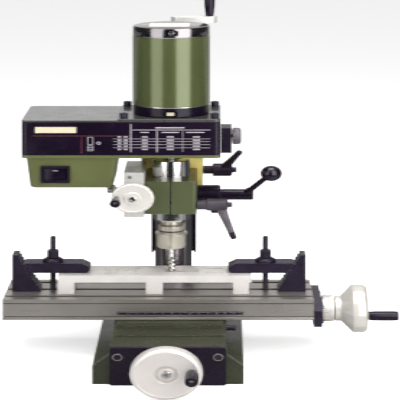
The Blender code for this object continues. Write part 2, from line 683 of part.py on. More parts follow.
def fine_feed():
    axis, back = (0, -1, 0), (FEED_X, 38, FEED_Z)
    profile = [(0, 0), (0, 4.6), (17, 4.6), (17, 4), (72.4, 4), (72.4, 9), (81, 9), (85, 22), (86.5, 24.2)]
    profile += [(92, 24.2), (93.5, 22.8), (93.5, 21), (92.3, 20), (92.3, 8), (93.5, 7), (93.5, 0)]
    wheel = add("feed_wheel", turned(profile, back, axis, FINE), "aluminium", back)
    knob_x, knob_z = -60.2, 262.2
    join(wheel, rod((knob_x, -50, knob_z), (knob_x, -87, knob_z), 1.8, segments=COARSE))
    grip("feed_grip", (knob_x, -55.5 - GAP, knob_z), axis, 33.5, (3.4, 4.0, 4.9, 5.8, 6.2), 2.1)


def lock_lever(name, axis_yz, bolt, sections, handle, origin_x):
    """A clamping lever: a bolt and hub along X, turned as one piece, and a tapered handle."""
    y, z = axis_yz
    start, radius = bolt
    profile = [(start, 0), (start, radius)]
    for x0, x1, r in sections:
        profile += [(x0, r), (x1, r)]
    profile.append((sections[-1][1], 0))
    lever = add(name, turned(profile, (0, y, z), (1, 0, 0)), "black_steel", (origin_x, y, z))
    join(lever, rod(*handle))


def lock_levers():
    y, z = QUILL_LOCK
    lock_lever(
        "quill_lock_lever", QUILL_LOCK, (-29.0, 2.5),
        ((30.0, 30.0, 2.5), (30.0, 40.0, 7.7), (40.0, 65.3, 9.3), (65.3, 70.0, 3.5)),
        ((57, y, z - 4), (71, y, z - 54), 5.4, 3.6), 30.0,
    )
    y, z = COLUMN_LOCK
    lock_lever(
        "column_lock_lever", COLUMN_LOCK, (-35.0, 3.0),
        ((36.0, 36.0, 3.0), (36.0, 47.0, 6.7), (47.0, 70.9, 10.5), (70.9, 76.2, 4.0)),
        ((63, y - 3, z + 4), (79, y - 27, z + 38), 5.4, 4.2), 36.0,
    )


def main():
    clear_scene()
    base_casting()
    front_plate()
    saddle_lock_screw()
    column()
    column_cap()
    cross_drive()
    long_drive()
    lift_drive()
    saddle()
    cross_nut()
    table()
    x_end_plate()
    workpiece()
    clamp(-1, "left")
    clamp(1, "right")
    head_carrier()
    column_guard()
    quill_housing()
    feed_housing()
    pinion_boss()
    belt_tray()
    belt_hood()
    belt_lid()
    motor_plate()
    tension_bracket()
    tension_knob()
    switch_rocker()
    motor()
    pulleys()
    belt("belt_upper", 10, 32, 365, 375)
    belt("belt_lower", 30, 12, 338, 350)
    quill_and_spindle()
    quill_lever()
    fine_feed()
    lock_levers()


main()
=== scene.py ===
"""Looks for the benchtop milling machine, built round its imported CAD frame.

Lengths are in millimetres and become metres when a mesh is made. The frame is the CAD's: Z is
up, X is to the operator's right, Y is away from the operator, and the spindle is on the Z axis.
"""

import math

import bmesh
import bpy
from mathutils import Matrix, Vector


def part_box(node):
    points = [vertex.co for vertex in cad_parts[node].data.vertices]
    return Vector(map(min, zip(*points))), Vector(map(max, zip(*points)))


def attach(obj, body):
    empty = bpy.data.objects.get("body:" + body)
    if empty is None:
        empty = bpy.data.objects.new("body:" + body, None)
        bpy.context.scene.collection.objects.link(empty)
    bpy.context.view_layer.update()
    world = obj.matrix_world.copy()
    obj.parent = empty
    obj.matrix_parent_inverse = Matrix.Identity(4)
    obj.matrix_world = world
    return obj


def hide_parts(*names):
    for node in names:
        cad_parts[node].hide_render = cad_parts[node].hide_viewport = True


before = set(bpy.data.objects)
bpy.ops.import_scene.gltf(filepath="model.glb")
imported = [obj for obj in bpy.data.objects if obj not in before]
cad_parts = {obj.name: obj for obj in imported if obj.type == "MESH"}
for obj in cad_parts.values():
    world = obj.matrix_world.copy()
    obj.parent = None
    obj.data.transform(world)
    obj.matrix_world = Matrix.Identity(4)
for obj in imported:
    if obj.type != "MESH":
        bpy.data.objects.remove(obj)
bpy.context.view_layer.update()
MM = 0.001
X_AXIS, Y_AXIS, Z_AXIS = (1, 0, 0), (0, 1, 0), (0, 0, 1)
TOWARDS_FRONT = (0, -1, 0)


def box_of(name):
    """A CAD node's (x0, x1, y0, y1, z0, z1) in millimetres."""
    low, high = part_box(name)
    return tuple(v / MM for pair in zip(low, high) for v in pair)


# ---- Materials ---------------------------------------------------------------


class Finish:
    """A procedural material: colour mottle, roughness change, surface grain, and edge wear with a painted edge
    highlight.
    """

    made = {}

    def __init__(self, name, slot, colour, roughness, metallic=0.0, coat=0.0):
        self.material = bpy.data.materials.new(name)
        self.material.use_nodes = True
        self.tree = self.material.node_tree
        self.shader = self.tree.nodes["Principled BSDF"]
        self.place = self.node("ShaderNodeTexCoord").outputs["Object"]
        self.colour = colour
        self.roughness = roughness
        self.slot = slot
        self.shader.inputs["Base Color"].default_value = (*colour, 1)
        self.shader.inputs["Roughness"].default_value = roughness
        self.shader.inputs["Metallic"].default_value = metallic
        self.shader.inputs["Coat Weight"].default_value = coat
        self.shader.inputs["Coat Roughness"].default_value = 0.08
        Finish.made[name] = self

    def shine(self, level):
        """How strongly the clear surface mirrors; 0.5 is usual."""
        self.shader.inputs["Specular IOR Level"].default_value = level
        return self

    def node(self, kind, **inputs):
        made = self.tree.nodes.new(kind)
        for name, value in inputs.items():
            made.inputs[name].default_value = value
        return made

    def link(self, out, into):
        self.tree.links.new(out, into)

    def math(self, operation, a, b):
        made = self.node("ShaderNodeMath")
        made.operation = operation
        for value, socket in ((a, made.inputs[0]), (b, made.inputs[1])):
            if isinstance(value, (int, float)):
                socket.default_value = value
            else:
                self.link(value, socket)
        return made.outputs[0]

    def noise(self, scale, detail=3.0, stretch=(1, 1, 1), place=None):
        """Noise with this many cells to a metre, stretched along an axis by a small factor."""
        mapping = self.node("ShaderNodeMapping")
        mapping.inputs["Scale"].default_value = stretch
        self.link(place or self.place, mapping.inputs["Vector"])
        texture = self.node("ShaderNodeTexNoise", Scale=scale, Detail=detail)
        self.link(mapping.outputs[0], texture.inputs["Vector"])
        return texture.outputs["Fac"]

    def spread(self, value, low, high):
        made = self.node("ShaderNodeMapRange")
        for name, number in (("From Min", 0.3), ("From Max", 0.7), ("To Min", low), ("To Max", high)):
            made.inputs[name].default_value = number
        self.link(value, made.inputs["Value"])
        return made.outputs[0]

    def mix(self, share, a, b):
        made = self.node("ShaderNodeMix")
        made.data_type = "RGBA"
        self.link(share, made.inputs["Factor"])
        for value, socket in ((a, made.inputs["A"]), (b, made.inputs["B"])):
            sockets = [s for s in made.inputs if s.name == socket.name and s.type == "RGBA"]
            if isinstance(value, tuple):
                sockets[0].default_value = (*value, 1)
            else:
                self.link(value, sockets[0])
        return next(s for s in made.outputs if s.type == "RGBA")

    def mottle(self, scale, amount):
        light = tuple(min(1.0, c * (1 + amount)) for c in self.colour)
        dark = tuple(c * (1 - amount) for c in self.colour)
        self.tone = self.mix(self.spread(self.noise(scale), 0, 1), dark, light)
        self.link(self.tone, self.shader.inputs["Base Color"])
        return self

    def vary_roughness(self, scale, amount, stretch=(1, 1, 1)):
        value = self.spread(self.noise(scale, 4.0, stretch), self.roughness - amount, self.roughness + amount)
        self.link(value, self.shader.inputs["Roughness"])
        return self

    def bump(self, height, depth, strength=1.0):
        made = self.node("ShaderNodeBump", Strength=strength, Distance=depth * MM)
        self.link(height, made.inputs["Height"])
        last = self.shader.inputs["Normal"]
        if last.is_linked:
            self.link(last.links[0].from_socket, made.inputs["Normal"])
        self.link(made.outputs[0], last)
        return self

    def grain(self, scale, depth, stretch=(1, 1, 1)):
        return self.bump(self.noise(scale, 3.0, stretch), depth)

    def worn_and_highlit_edges(self, colour, radius, share):
        """Shows another, lighter colour where the surface turns over an edge: edge wear, together with a painted
        highlight.
        """
        bevel = self.node("ShaderNodeBevel", Radius=radius * MM)
        bevel.samples = 4
        flat = self.node("ShaderNodeNewGeometry")
        dot = self.node("ShaderNodeVectorMath")
        dot.operation = "DOT_PRODUCT"
        self.link(bevel.outputs[0], dot.inputs[0])
        self.link(flat.outputs["Normal"], dot.inputs[1])
        turn = self.math("MULTIPLY", self.math("SUBTRACT", 0.96, dot.outputs["Value"]), 5.0)
        turn = self.math("MAXIMUM", turn, 0.0)
        rough = self.spread(self.noise(260, 5.0), 0.2, 1.0)
        amount = self.math("MULTIPLY", self.math("MULTIPLY", turn, rough), share)
        amount = self.math("MINIMUM", amount, 1.0)
        self.tone = self.mix(amount, self.tone, colour)
        self.link(self.tone, self.shader.inputs["Base Color"])
        return self

    def turning_marks(self, centre, axis, scale, depth):
        """Fine rings round an axis, as a lathe tool leaves."""
        shifted = self.node("ShaderNodeVectorMath")
        shifted.operation = "SUBTRACT"
        self.link(self.place, shifted.inputs[0])
        shifted.inputs[1].default_value = [c * MM for c in centre]
        flat = self.node("ShaderNodeVectorMath")
        flat.operation = "MULTIPLY"
        self.link(shifted.outputs[0], flat.inputs[0])
        flat.inputs[1].default_value = [0 if a else 1 for a in axis]
        length = self.node("ShaderNodeVectorMath")
        length.operation = "LENGTH"
        self.link(flat.outputs[0], length.inputs[0])
        along = self.node("ShaderNodeVectorMath")
        along.operation = "DOT_PRODUCT"
        self.link(shifted.outputs[0], along.inputs[0])
        along.inputs[1].default_value = axis
        joined = self.node("ShaderNodeCombineXYZ")
        self.link(length.outputs["Value"], joined.inputs["X"])
        self.link(along.outputs["Value"], joined.inputs["Y"])
        rings = self.noise(scale, 2.0, place=joined.outputs[0])
        self.link(
            self.spread(rings, self.roughness - 0.07, self.roughness + 0.09),
            self.shader.inputs["Roughness"],
        )
        return self.bump(rings, depth)


def make_finishes():
    green, shaded_green, motor_green = (0.100, 0.113, 0.036), (0.030, 0.034, 0.017), (0.105, 0.125, 0.048)
    # Edge colour for the enamels: partly bare metal where paint wears, partly a painted edge highlight.
    bare_metal_and_highlight = (0.45, 0.43, 0.38)
    Finish("green_enamel", "green_paint", green, 0.36, 0, 0.35).mottle(18, 0.10).vary_roughness(60, 0.06).grain(
        900, 0.035
    ).worn_and_highlit_edges(bare_metal_and_highlight, 0.5, 0.9)
    Finish("block_enamel", "green_paint", (0.072, 0.085, 0.036), 0.32, 0, 0.4).mottle(22, 0.08).grain(
        900, 0.03
    ).worn_and_highlit_edges(bare_metal_and_highlight, 0.5, 0.9)
    # The base and saddle get the machine's green darkened as painted shade, standing for the table's shadow over them.
    Finish("base_enamel_painted_shade", "green_paint", shaded_green, 0.30, 0, 0.1).shine(0.35).mottle(18, 0.14).vary_roughness(60, 0.06).grain(
        900, 0.03
    ).worn_and_highlit_edges(bare_metal_and_highlight, 0.5, 0.9)
    Finish("motor_enamel", "green_paint", motor_green, 0.24, 0.45, 0.6).mottle(9, 0.05).vary_roughness(
        7, 0.02
    ).grain(1600, 0.006)
    Finish("yellow_enamel", "yellow_paint", (0.80, 0.66, 0.20), 0.42, 0, 0.25).mottle(25, 0.08).grain(
        500, 0.06
    ).worn_and_highlit_edges(bare_metal_and_highlight, 0.5, 0.7)
    Finish("black_gloss", "black_plastic", (0.008, 0.0035, 0.013), 0.22).shine(0.28).mottle(30, 0.25).vary_roughness(
        90, 0.06
    ).grain(1400, 0.012).worn_and_highlit_edges((0.10, 0.09, 0.11), 0.5, 0.8)
    Finish("black_moulded", "black_plastic", (0.010, 0.005, 0.016), 0.34).shine(0.3).mottle(40, 0.25).vary_roughness(
        120, 0.07
    ).grain(2200, 0.03).worn_and_highlit_edges((0.10, 0.09, 0.11), 0.5, 0.8)
    Finish("black_oxide", "black_steel", (0.015, 0.008, 0.024), 0.38, 0.15).shine(0.35).mottle(70, 0.35).vary_roughness(
        160, 0.10
    ).grain(1500, 0.03, (0.15, 1, 1)).worn_and_highlit_edges((0.20, 0.18, 0.19), 0.5, 0.9)
    Finish("lever_grey", "black_steel", (0.11, 0.10, 0.115), 0.42, 0.2).mottle(60, 0.2).grain(1500, 0.03)
    Finish("polished", "chrome", (0.80, 0.79, 0.78), 0.12, 1.0).mottle(30, 0.04).vary_roughness(120, 0.04).grain(
        900, 0.004, (1, 1, 6)
    )
    Finish("ground_table", "table_grey", (0.40, 0.37, 0.345), 0.34, 0.8).mottle(22, 0.07).vary_roughness(
        300, 0.08, (0.04, 1, 1)
    ).grain(1800, 0.012, (0.02, 1, 1)).worn_and_highlit_edges((0.72, 0.70, 0.66), 0.5, 0.9)
    Finish("milled", "aluminium", (0.84, 0.80, 0.77), 0.36, 0.3).mottle(40, 0.06).vary_roughness(
        260, 0.08, (0.2, 1, 1)
    ).grain(1500, 0.016, (0.05, 1, 1)).worn_and_highlit_edges((0.92, 0.92, 0.9), 0.4, 0.6)
    Finish("cast_alloy", "aluminium", (0.74, 0.73, 0.70), 0.42, 0.45).mottle(50, 0.06).vary_roughness(
        180, 0.08
    ).grain(1300, 0.03).worn_and_highlit_edges((0.9, 0.9, 0.88), 0.5, 0.7)
    Finish("collet_steel", "steel", (0.60, 0.56, 0.47), 0.34, 0.65).mottle(60, 0.08).vary_roughness(200, 0.08).grain(
        1200, 0.01, (1, 1, 4)
    )
    Finish("cutter_steel", "steel", (0.62, 0.61, 0.58), 0.22, 1.0).mottle(90, 0.1).vary_roughness(300, 0.06)
    Finish("screw_steel", "steel", (0.50, 0.49, 0.46), 0.30, 1.0).mottle(80, 0.1).vary_roughness(300, 0.08)
    Finish("brass_nut", "brass", (0.55, 0.40, 0.15), 0.30, 1.0).mottle(60, 0.1).grain(1500, 0.01, (0.1, 1, 1))
    Finish("belt_rubber", "rubber", (0.018, 0.018, 0.018), 0.75).mottle(60, 0.3).grain(1800, 0.05)
    Finish("print_white", "black_plastic", (0.46, 0.42, 0.46), 0.45).mottle(300, 0.08)
    Finish("print_red", "black_plastic", (0.23, 0.05, 0.06), 0.45).mottle(300, 0.1)
    Finish("plate_cream", "black_plastic", (0.62, 0.57, 0.40), 0.35).mottle(120, 0.05)
    Finish("label_grey", "black_plastic", (0.66, 0.64, 0.58), 0.35).mottle(90, 0.05)
    Finish("ball_gloss", "black_plastic", (0.008, 0.004, 0.012), 0.07).mottle(40, 0.2).vary_roughness(90, 0.03)
    Finish("hub_grey", "black_steel", (0.045, 0.036, 0.050), 0.42).mottle(60, 0.25).grain(1500, 0.04)
    Finish("column_chrome", "chrome", (0.46, 0.43, 0.47), 0.13, 1.0).mottle(25, 0.05).vary_roughness(
        120, 0.03, (1, 1, 0.1)
    )
    for name, slot, colour, roughness, metallic, centre, axis in (
        ("wheel_y", "aluminium", (0.70, 0.66, 0.63), 0.38, 0.4, (0, 0, 44.5), Y_AXIS),
        ("wheel_x", "aluminium", (0.74, 0.71, 0.66), 0.40, 0.5, (0, 0, 64.7), X_AXIS),
        ("wheel_feed", "aluminium", (0.73, 0.70, 0.66), 0.38, 0.3, (-42.2, 0, 261), Y_AXIS),
        ("motor_cap", "chrome", (0.30, 0.28, 0.29), 0.14, 1.0, (0, 0, 0), Z_AXIS),
        ("pulley_metal", "aluminium", (0.70, 0.69, 0.66), 0.30, 0.9, (0, 0, 0), Z_AXIS),
    ):
        Finish(name, slot, colour, roughness, metallic).mottle(35, 0.04).turning_marks(centre, axis, 1600, 0.012)


# ---- Meshes ------------------------------------------------------------------


def prism(outline, axis, start, end):
    """An outline of (y, z), (x, z) or (x, y) points, swept along an axis."""
    bm = bmesh.new()
    order = {"X": lambda p, a: (a, *p), "Y": lambda p, a: (p[0], a, p[1]), "Z": lambda p, a: (*p, a)}[axis]
    low = [bm.verts.new(order(p, start)) for p in outline]
    high = [bm.verts.new(order(p, end)) for p in outline]
    bm.faces.new(low)
    bm.faces.new(high)
    for i, j in around(len(outline)):
        bm.faces.new((low[i], low[j], high[j], high[i]))
    return bm


def around(count):
    return [(i, (i + 1) % count) for i in range(count)]


def box(x0, x1, y0, y1, z0, z1):
    return prism([(x0, y0), (x1, y0), (x1, y1), (x0, y1)], "Z", z0, z1)


def arc(centre, radius, start, end, steps):
    angles = [math.radians(start + (end - start) * i / steps) for i in range(steps + 1)]
    return [(centre[0] + radius * math.cos(a), centre[1] + radius * math.sin(a)) for a in angles]


def rounded(x0, x1, y0, y1, radius, steps=6):
    corners = ((x1, y1, 0), (x0, y1, 90), (x0, y0, 180), (x1, y0, 270))
    points = []
    for x, y, angle in corners:
        centre = (x - math.copysign(radius, x - (x0 + x1) / 2), y - math.copysign(radius, y - (y0 + y1) / 2))
        points += arc(centre, radius, angle, angle + 90, steps)
    return points


def cross(a, b):
    return (a[1] * b[2] - a[2] * b[1], a[2] * b[0] - a[0] * b[2], a[0] * b[1] - a[1] * b[0])


def across(axis):
    helper = Z_AXIS if abs(axis[2]) < 0.9 else X_AXIS
    first = cross(axis, helper)
    size = math.sqrt(sum(c * c for c in first))
    first = tuple(c / size for c in first)
    return first, cross(axis, first)


def turned(profile, base, axis=Z_AXIS, segments=64, ring=False, shape=None):
    """A turned piece from (distance along the axis, radius) points. shape(angle, point) scales a radius."""
    bm = bmesh.new()
    u, v = across(axis)
    rings = []
    for number, (along, radius) in enumerate(profile):
        centre = [base[k] + axis[k] * along for k in range(3)]
        if radius == 0:
            rings.append([bm.verts.new(centre)])
            continue
        points = []
        for i in range(segments):
            angle = 2 * math.pi * i / segments
            r = radius * (shape(angle, number) if shape else 1)
            c, s = r * math.cos(angle), r * math.sin(angle)
            points.append(bm.verts.new([centre[k] + u[k] * c + v[k] * s for k in range(3)]))
        rings.append(points)
    pairs = list(zip(rings, rings[1:]))
    if ring:
        pairs.append((rings[-1], rings[0]))
    for low, high in pairs:
        for i, j in around(segments):
            if len(low) == 1:
                bm.faces.new((low[0], high[i], high[j]))
            elif len(high) == 1:
                bm.faces.new((low[i], low[j], high[0]))
            else:
                bm.faces.new((low[i], low[j], high[j], high[i]))
    if not ring:
        for end in (rings[0], rings[-1]):
            if len(end) > 1:
                bm.faces.new(end)
    return bm


def rod(start, end, radius, end_radius=None, segments=32):
    length = math.dist(start, end)
    axis = tuple((e - s) / length for s, e in zip(start, end))
    last = radius if end_radius is None else end_radius
    return turned([(0, radius), (length, last)], start, axis, segments)


def loft(sections):
    """Joins closed outlines of the same number of 3-D points, with a cap at each end."""
    bm = bmesh.new()
    rows = [[bm.verts.new(p) for p in section] for section in sections]
    for low, high in zip(rows, rows[1:]):
        for i, j in around(len(low)):
            bm.faces.new((low[i], low[j], high[j], high[i]))
    bm.faces.new(rows[0])
    bm.faces.new(rows[-1])
    return bm


def merged(*shapes):
    """Several separate closed shapes as one mesh."""
    bm = bmesh.new()
    for shape in shapes:
        mesh = bpy.data.meshes.new("part")
        shape.to_mesh(mesh)
        bm.from_mesh(mesh)
        shape.free()
        bpy.data.meshes.remove(mesh)
    return bm


def helper_object(bm):
    bmesh.ops.recalc_face_normals(bm, faces=bm.faces)
    mesh = bpy.data.meshes.new("helper")
    bm.to_mesh(mesh)
    bm.free()
    obj = bpy.data.objects.new("helper", mesh)
    bpy.context.scene.collection.objects.link(obj)
    return obj


def carve(bm, operation, *tools):
    """bm with each tool cut away (DIFFERENCE) or joined on (UNION)."""
    body = helper_object(bm)
    helpers = [helper_object(tool) for tool in tools]
    for tool in helpers:
        modifier = body.modifiers.new("carve", "BOOLEAN")
        modifier.operation = operation
        modifier.solver = "EXACT"
        modifier.object = tool
    bpy.context.view_layer.update()
    done = body.evaluated_get(bpy.context.evaluated_depsgraph_get()).to_mesh()
    result = bmesh.new()
    result.from_mesh(done)
    for obj in [body, *helpers]:
        bpy.data.objects.remove(obj)
    return result


def piece(name, bm, finish, body, stands_for=(), bevel=0.35, steps=2, smooth=True):
    """A visible piece on a CAD body, with rounded edges."""
    bmesh.ops.recalc_face_normals(bm, faces=bm.faces)
    bmesh.ops.scale(bm, vec=(MM, MM, MM), verts=bm.verts)
    mesh = bpy.data.meshes.new(name)
    bm.to_mesh(mesh)
    bm.free()
    if smooth:
        mesh.shade_smooth()
        mesh.set_sharp_from_angle(angle=math.radians(32))
    obj = bpy.data.objects.new(name, mesh)
    bpy.context.scene.collection.objects.link(obj)
    dress(obj, finish, bevel, steps)
    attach(obj, body)
    if stands_for:
        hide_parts(*([stands_for] if isinstance(stands_for, str) else stands_for))
    return obj


def dress(obj, finish, bevel, steps=2):
    obj.data.materials.clear()
    obj.data.materials.append(Finish.made[finish].material)
    if bevel:
        modifier = obj.modifiers.new("edges", "BEVEL")
        modifier.width = bevel * MM
        modifier.segments = steps
        modifier.limit_method = "ANGLE"
        modifier.angle_limit = math.radians(32)
        modifier.harden_normals = True


def keep(name, finish, bevel=0.5, steps=2):
    """A CAD node whose shape is right: its flat faces are merged, its edges rounded and its finish set."""
    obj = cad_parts[name]
    merge = obj.modifiers.new("merge", "DECIMATE")
    merge.decimate_type = "DISSOLVE"
    merge.angle_limit = math.radians(0.5)
    dress(obj, finish, bevel, steps)


def socket_screw(name, base, axis, radius, height, finish, body):
    """A cylinder head with a hexagon socket."""
    head = turned([(0, radius), (height * 0.9, radius), (height, radius * 0.9)], base, axis, 40)
    tip = [base[k] + axis[k] * (height + 1) for k in range(3)]
    floor = [base[k] + axis[k] * height * 0.4 for k in range(3)]
    return piece(name, carve(head, "DIFFERENCE", rod(floor, tip, radius * 0.52, segments=6)), finish, body, bevel=0.15)


def threads(start, end, radius, pitch, depth):
    """A (distance, radius) profile with a thread's ridges."""
    points = []
    for i in range(int((end - start) / pitch)):
        a = start + pitch * i
        points += [(a, radius - depth), (a + pitch * 0.4, radius), (a + pitch * 0.6, radius)]
    return points + [(end, radius - depth)]


# ---- Base, column and slides ---------------------------------------------------


def base_and_column():
    # The base casting takes the green darkened as painted shade.
    keep("base_casting", "base_enamel_painted_shade", 0.9, 3)
    keep("front_plate", "black_gloss", 0.6, 3)
    x0, x1, y0, _, _, z1 = box_of("front_plate")
    plate_front = -158.0
    for side in (-1, 1):
        centre = (side * 54.0, plate_front - 0.1, 44.4)
        rim = turned([(0, 5.6), (0.5, 5.4), (0.5, 4.4), (0, 4.2)], centre, TOWARDS_FRONT, 40, ring=True)
        word = "left" if side < 0 else "right"
        piece(f"front_plate_rim_{word}", rim, "screw_steel", "base", bevel=0.1)
        socket_screw(f"front_plate_screw_{word}", centre, TOWARDS_FRONT, 3.9, 1.6, "black_oxide", "base")
    x0, x1, y0, y1, z0, z1 = box_of("column")
    middle = ((x0 + x1) / 2, (y0 + y1) / 2)
    tube = turned([(z0, 15), (z0, x1), (z1, x1), (z1, 15)], (*middle, 0), segments=96, ring=True)
    tube = carve(tube, "DIFFERENCE", box(2.5, 13.5, 113, 135, 200, 475))
    piece("column_tube", tube, "column_chrome", "base", "column", 0.6)
    x0, x1, y0, y1, z0, z1 = box_of("column_cap")
    cap = turned([(z0, x1), (z1 - 1.5, x1), (z1, x1 - 1.5)], (*middle, 0), segments=96)
    cap = carve(cap, "DIFFERENCE", rod((8, middle[1], z0 - 1), (8, middle[1], z1 + 1), 4.4))
    piece("column_top", cap, "black_oxide", "base", "column_cap", 0.4)
    keep("column_guard", "black_oxide", 0.5)
    x0, x1, y0, y1, z0, z1 = box_of("saddle_lock_screw")
    y, z = (y0 + y1) / 2, (z0 + z1) / 2
    head = x1 - 10.7
    profile = [(x0, 0), (x0, 2.1)] + threads(x0 + 0.5, head - 0.6, 2.4, 0.8, 0.35)
    profile += [(head, 4.2), (head + 4, 4.2), (head + 4.6, 3.3), (head + 6.2, 3.3), (head + 6.8, 4.2)]
    profile += [(x1 - 0.6, 4.2), (x1, 3.4), (x1, 0)]
    piece("saddle_lock_thumb_screw", turned(profile, (0, y, z), X_AXIS, 32), "black_oxide", "saddle_lock", "saddle_lock_screw", 0.15)


def slides():
    # The saddle takes the green darkened as painted shade.
    keep("saddle", "base_enamel_painted_shade", 0.6)
    keep("cross_nut", "brass_nut", 0.4)
    keep("table", "ground_table", 0.45, 3)
    keep("x_end_plate", "black_oxide", 0.9, 3)
    for y, z in ((-32, 78), (34, 78), (-36, 56)):
        end = box_of("x_end_plate")[1]
        socket_screw(f"end_plate_screw_{int(abs(y))}_{z}", (end - 0.05, y, z), X_AXIS, 3.4, 2.0, "black_oxide", "table")
    table_edges()
    table_scale()


def table_edges():
    """The bottom lip along the table's long sides, and a thin dark strip painted as the stop groove's shade."""
    x0, x1, y0, y1, z0, z1 = box_of("table")
    for word, y in (("front", y0), ("back", y1)):
        out = math.copysign(1, y)
        lip = [(y - 0.1 * out, z0), (y + 0.5 * out, z0 + 0.3), (y + 0.5 * out, z0 + 3.2), (y - 0.1 * out, z0 + 4.2)]
        piece(f"table_lip_{word}", prism(lip, "X", x0, x1), "ground_table", "table", bevel=0.15)
        # A thin black strip stands proud of the face as the stop groove's painted shade; no groove is cut.
        groove_shade_strip = [(y - 0.1 * out, z1 - 7.6), (y + 0.1 * out, z1 - 7.3), (y + 0.1 * out, z1 - 6.3), (y - 0.1 * out, z1 - 6)]
        piece(f"table_groove_painted_shade_{word}", prism(groove_shade_strip, "X", x0 + 0.3, x1 - 0.3), "black_oxide", "table", bevel=0)


def table_scale():
    """A black rule on the table's front, with white divisions."""
    x0, x1, z0, z1, front = -60.0, 82.0, 71.4, 76.4, box_of("table")[2]
    piece("table_scale", box(x0, x1, front - 0.35, front + 0.1, z0, z1), "black_gloss", "table", bevel=0.1)
    marks = []
    for i in range(int((x1 - x0 - 4) / 2) + 1):
        x = x0 + 2 + 2 * i
        height = 3.4 if i % 5 == 0 else 1.7
        marks.append(box(x - 0.22, x + 0.22, front - 0.42, front - 0.3, z1 - 0.5 - height, z1 - 0.5))
    piece("table_scale_divisions", merged(*marks), "print_white", "table", bevel=0)


# ---- Handwheels, dials and grips -------------------------------------------------


def facets(count, share):
    """A many-sided outline, blended with the circle round it."""

    def shape(angle, _):
        step = 2 * math.pi / count
        inside = math.cos(step / 2) / math.cos((angle % step) - step / 2)
        return 1 + share * (inside - 1)

    return shape


def handwheel(name, base, axis, pin, finish, body, stands_for, flats):
    """A turned wheel: collar, flared back, faceted rim and a dished face with a hub screw."""
    lobed = facets(12, flats)
    profile = [(0, 5.6), (0, 19.0), (0.8, 19.7), (6.2, 19.7), (7.2, 20.6), (19.3, 37.2), (20.6, 38), (32.4, 38)]
    profile += [(34.6, 36.8), (36.6, 34.2), (36.8, 33.2), (36.2, 32.4), (34.4, 13.4), (33.6, 12.6), (31.6, 12.4)]
    profile += [(31.6, 9.2), (33.2, 8.8), (34.8, 8.0), (34.8, 5.6)]
    outside = range(4, 11)
    wheel = turned(profile, base, axis, 144, ring=True, shape=lambda a, n: lobed(a, n) if n in outside else 1)
    piece(name, wheel, finish, body, stands_for, 0.25)
    point = lambda d, p=base: [p[k] + axis[k] * d for k in range(3)]
    piece(f"{name}_pin", rod(point(30, pin), point(67, pin), 2.4), "screw_steel", body, bevel=0.2)
    socket_screw(f"{name}_hub_screw", point(33.0), axis, 5.4, 3.4, "polished", body)


def grip(name, base, axis, radii, body, stands_for, length=34.0, flutes=0):
    """A moulded grip with rounded ends and a recess round its screw."""
    last = len(radii) - 1
    profile = [(0.0, 2.8), (0.0, radii[0] - 1.4), (0.4, radii[0] - 0.5), (1.2, radii[0])]
    steps = 16
    for i in range(1, steps):
        t = i / steps * last
        k = min(int(t), last - 1)
        s = t - k
        s = s * s * (3 - 2 * s)
        profile.append((length * i / steps, radii[k] * (1 - s) + radii[k + 1] * s))
    end = radii[-1]
    profile += [(length - 1.2, end), (length - 0.4, end - 0.5), (length, end - 1.4), (length, 3.9), (length - 1.2, 3.7)]
    profile += [(length - 1.2, 2.8)]
    outer = range(3, 3 + steps)
    ripple = lambda a, n: 1 - 0.035 * (0.5 - 0.5 * math.cos(flutes * a)) if flutes and n in outer else 1
    piece(name, turned(profile, base, axis, 96, ring=True, shape=ripple), "black_gloss", body, stands_for, 0.15)


def dial(name, base, axis, finish, body, stands_for, divisions=40):
    """A dial ring with a knurled band and engraved divisions."""
    knurl = lambda a, n: 1 + (0.007 * math.cos(72 * a) if n in (6, 7) else 0)
    profile = [(0, 5.6), (0, 20.2), (0.5, 20.6), (9.2, 20.6), (9.4, 20.1), (9.9, 20.1), (10.1, 20.9), (12.6, 20.9)]
    profile += [(13.1, 20.4), (13.1, 5.6)]
    piece(name, turned(profile, base, axis, 288, ring=True, shape=knurl), finish, body, stands_for, 0)
    u, v = across(axis)
    marks = []
    for i in range(divisions):
        angle = 2 * math.pi * i / divisions
        length = 4.6 if i % 5 == 0 else 2.6
        out = [u[k] * math.cos(angle) + v[k] * math.sin(angle) for k in range(3)]
        side = [v[k] * math.cos(angle) - u[k] * math.sin(angle) for k in range(3)]
        rows = []
        for along in (1.2, 1.2 + length):
            row = []
            for s, r in ((-0.16, 20.4), (0.16, 20.4), (0.16, 20.68), (-0.16, 20.68)):
                row.append([base[k] + axis[k] * along + out[k] * r + side[k] * s for k in range(3)])
            rows.append(row)
        marks.append(loft(rows))
    piece(f"{name}_divisions", merged(*marks), "black_oxide", body, bevel=0)


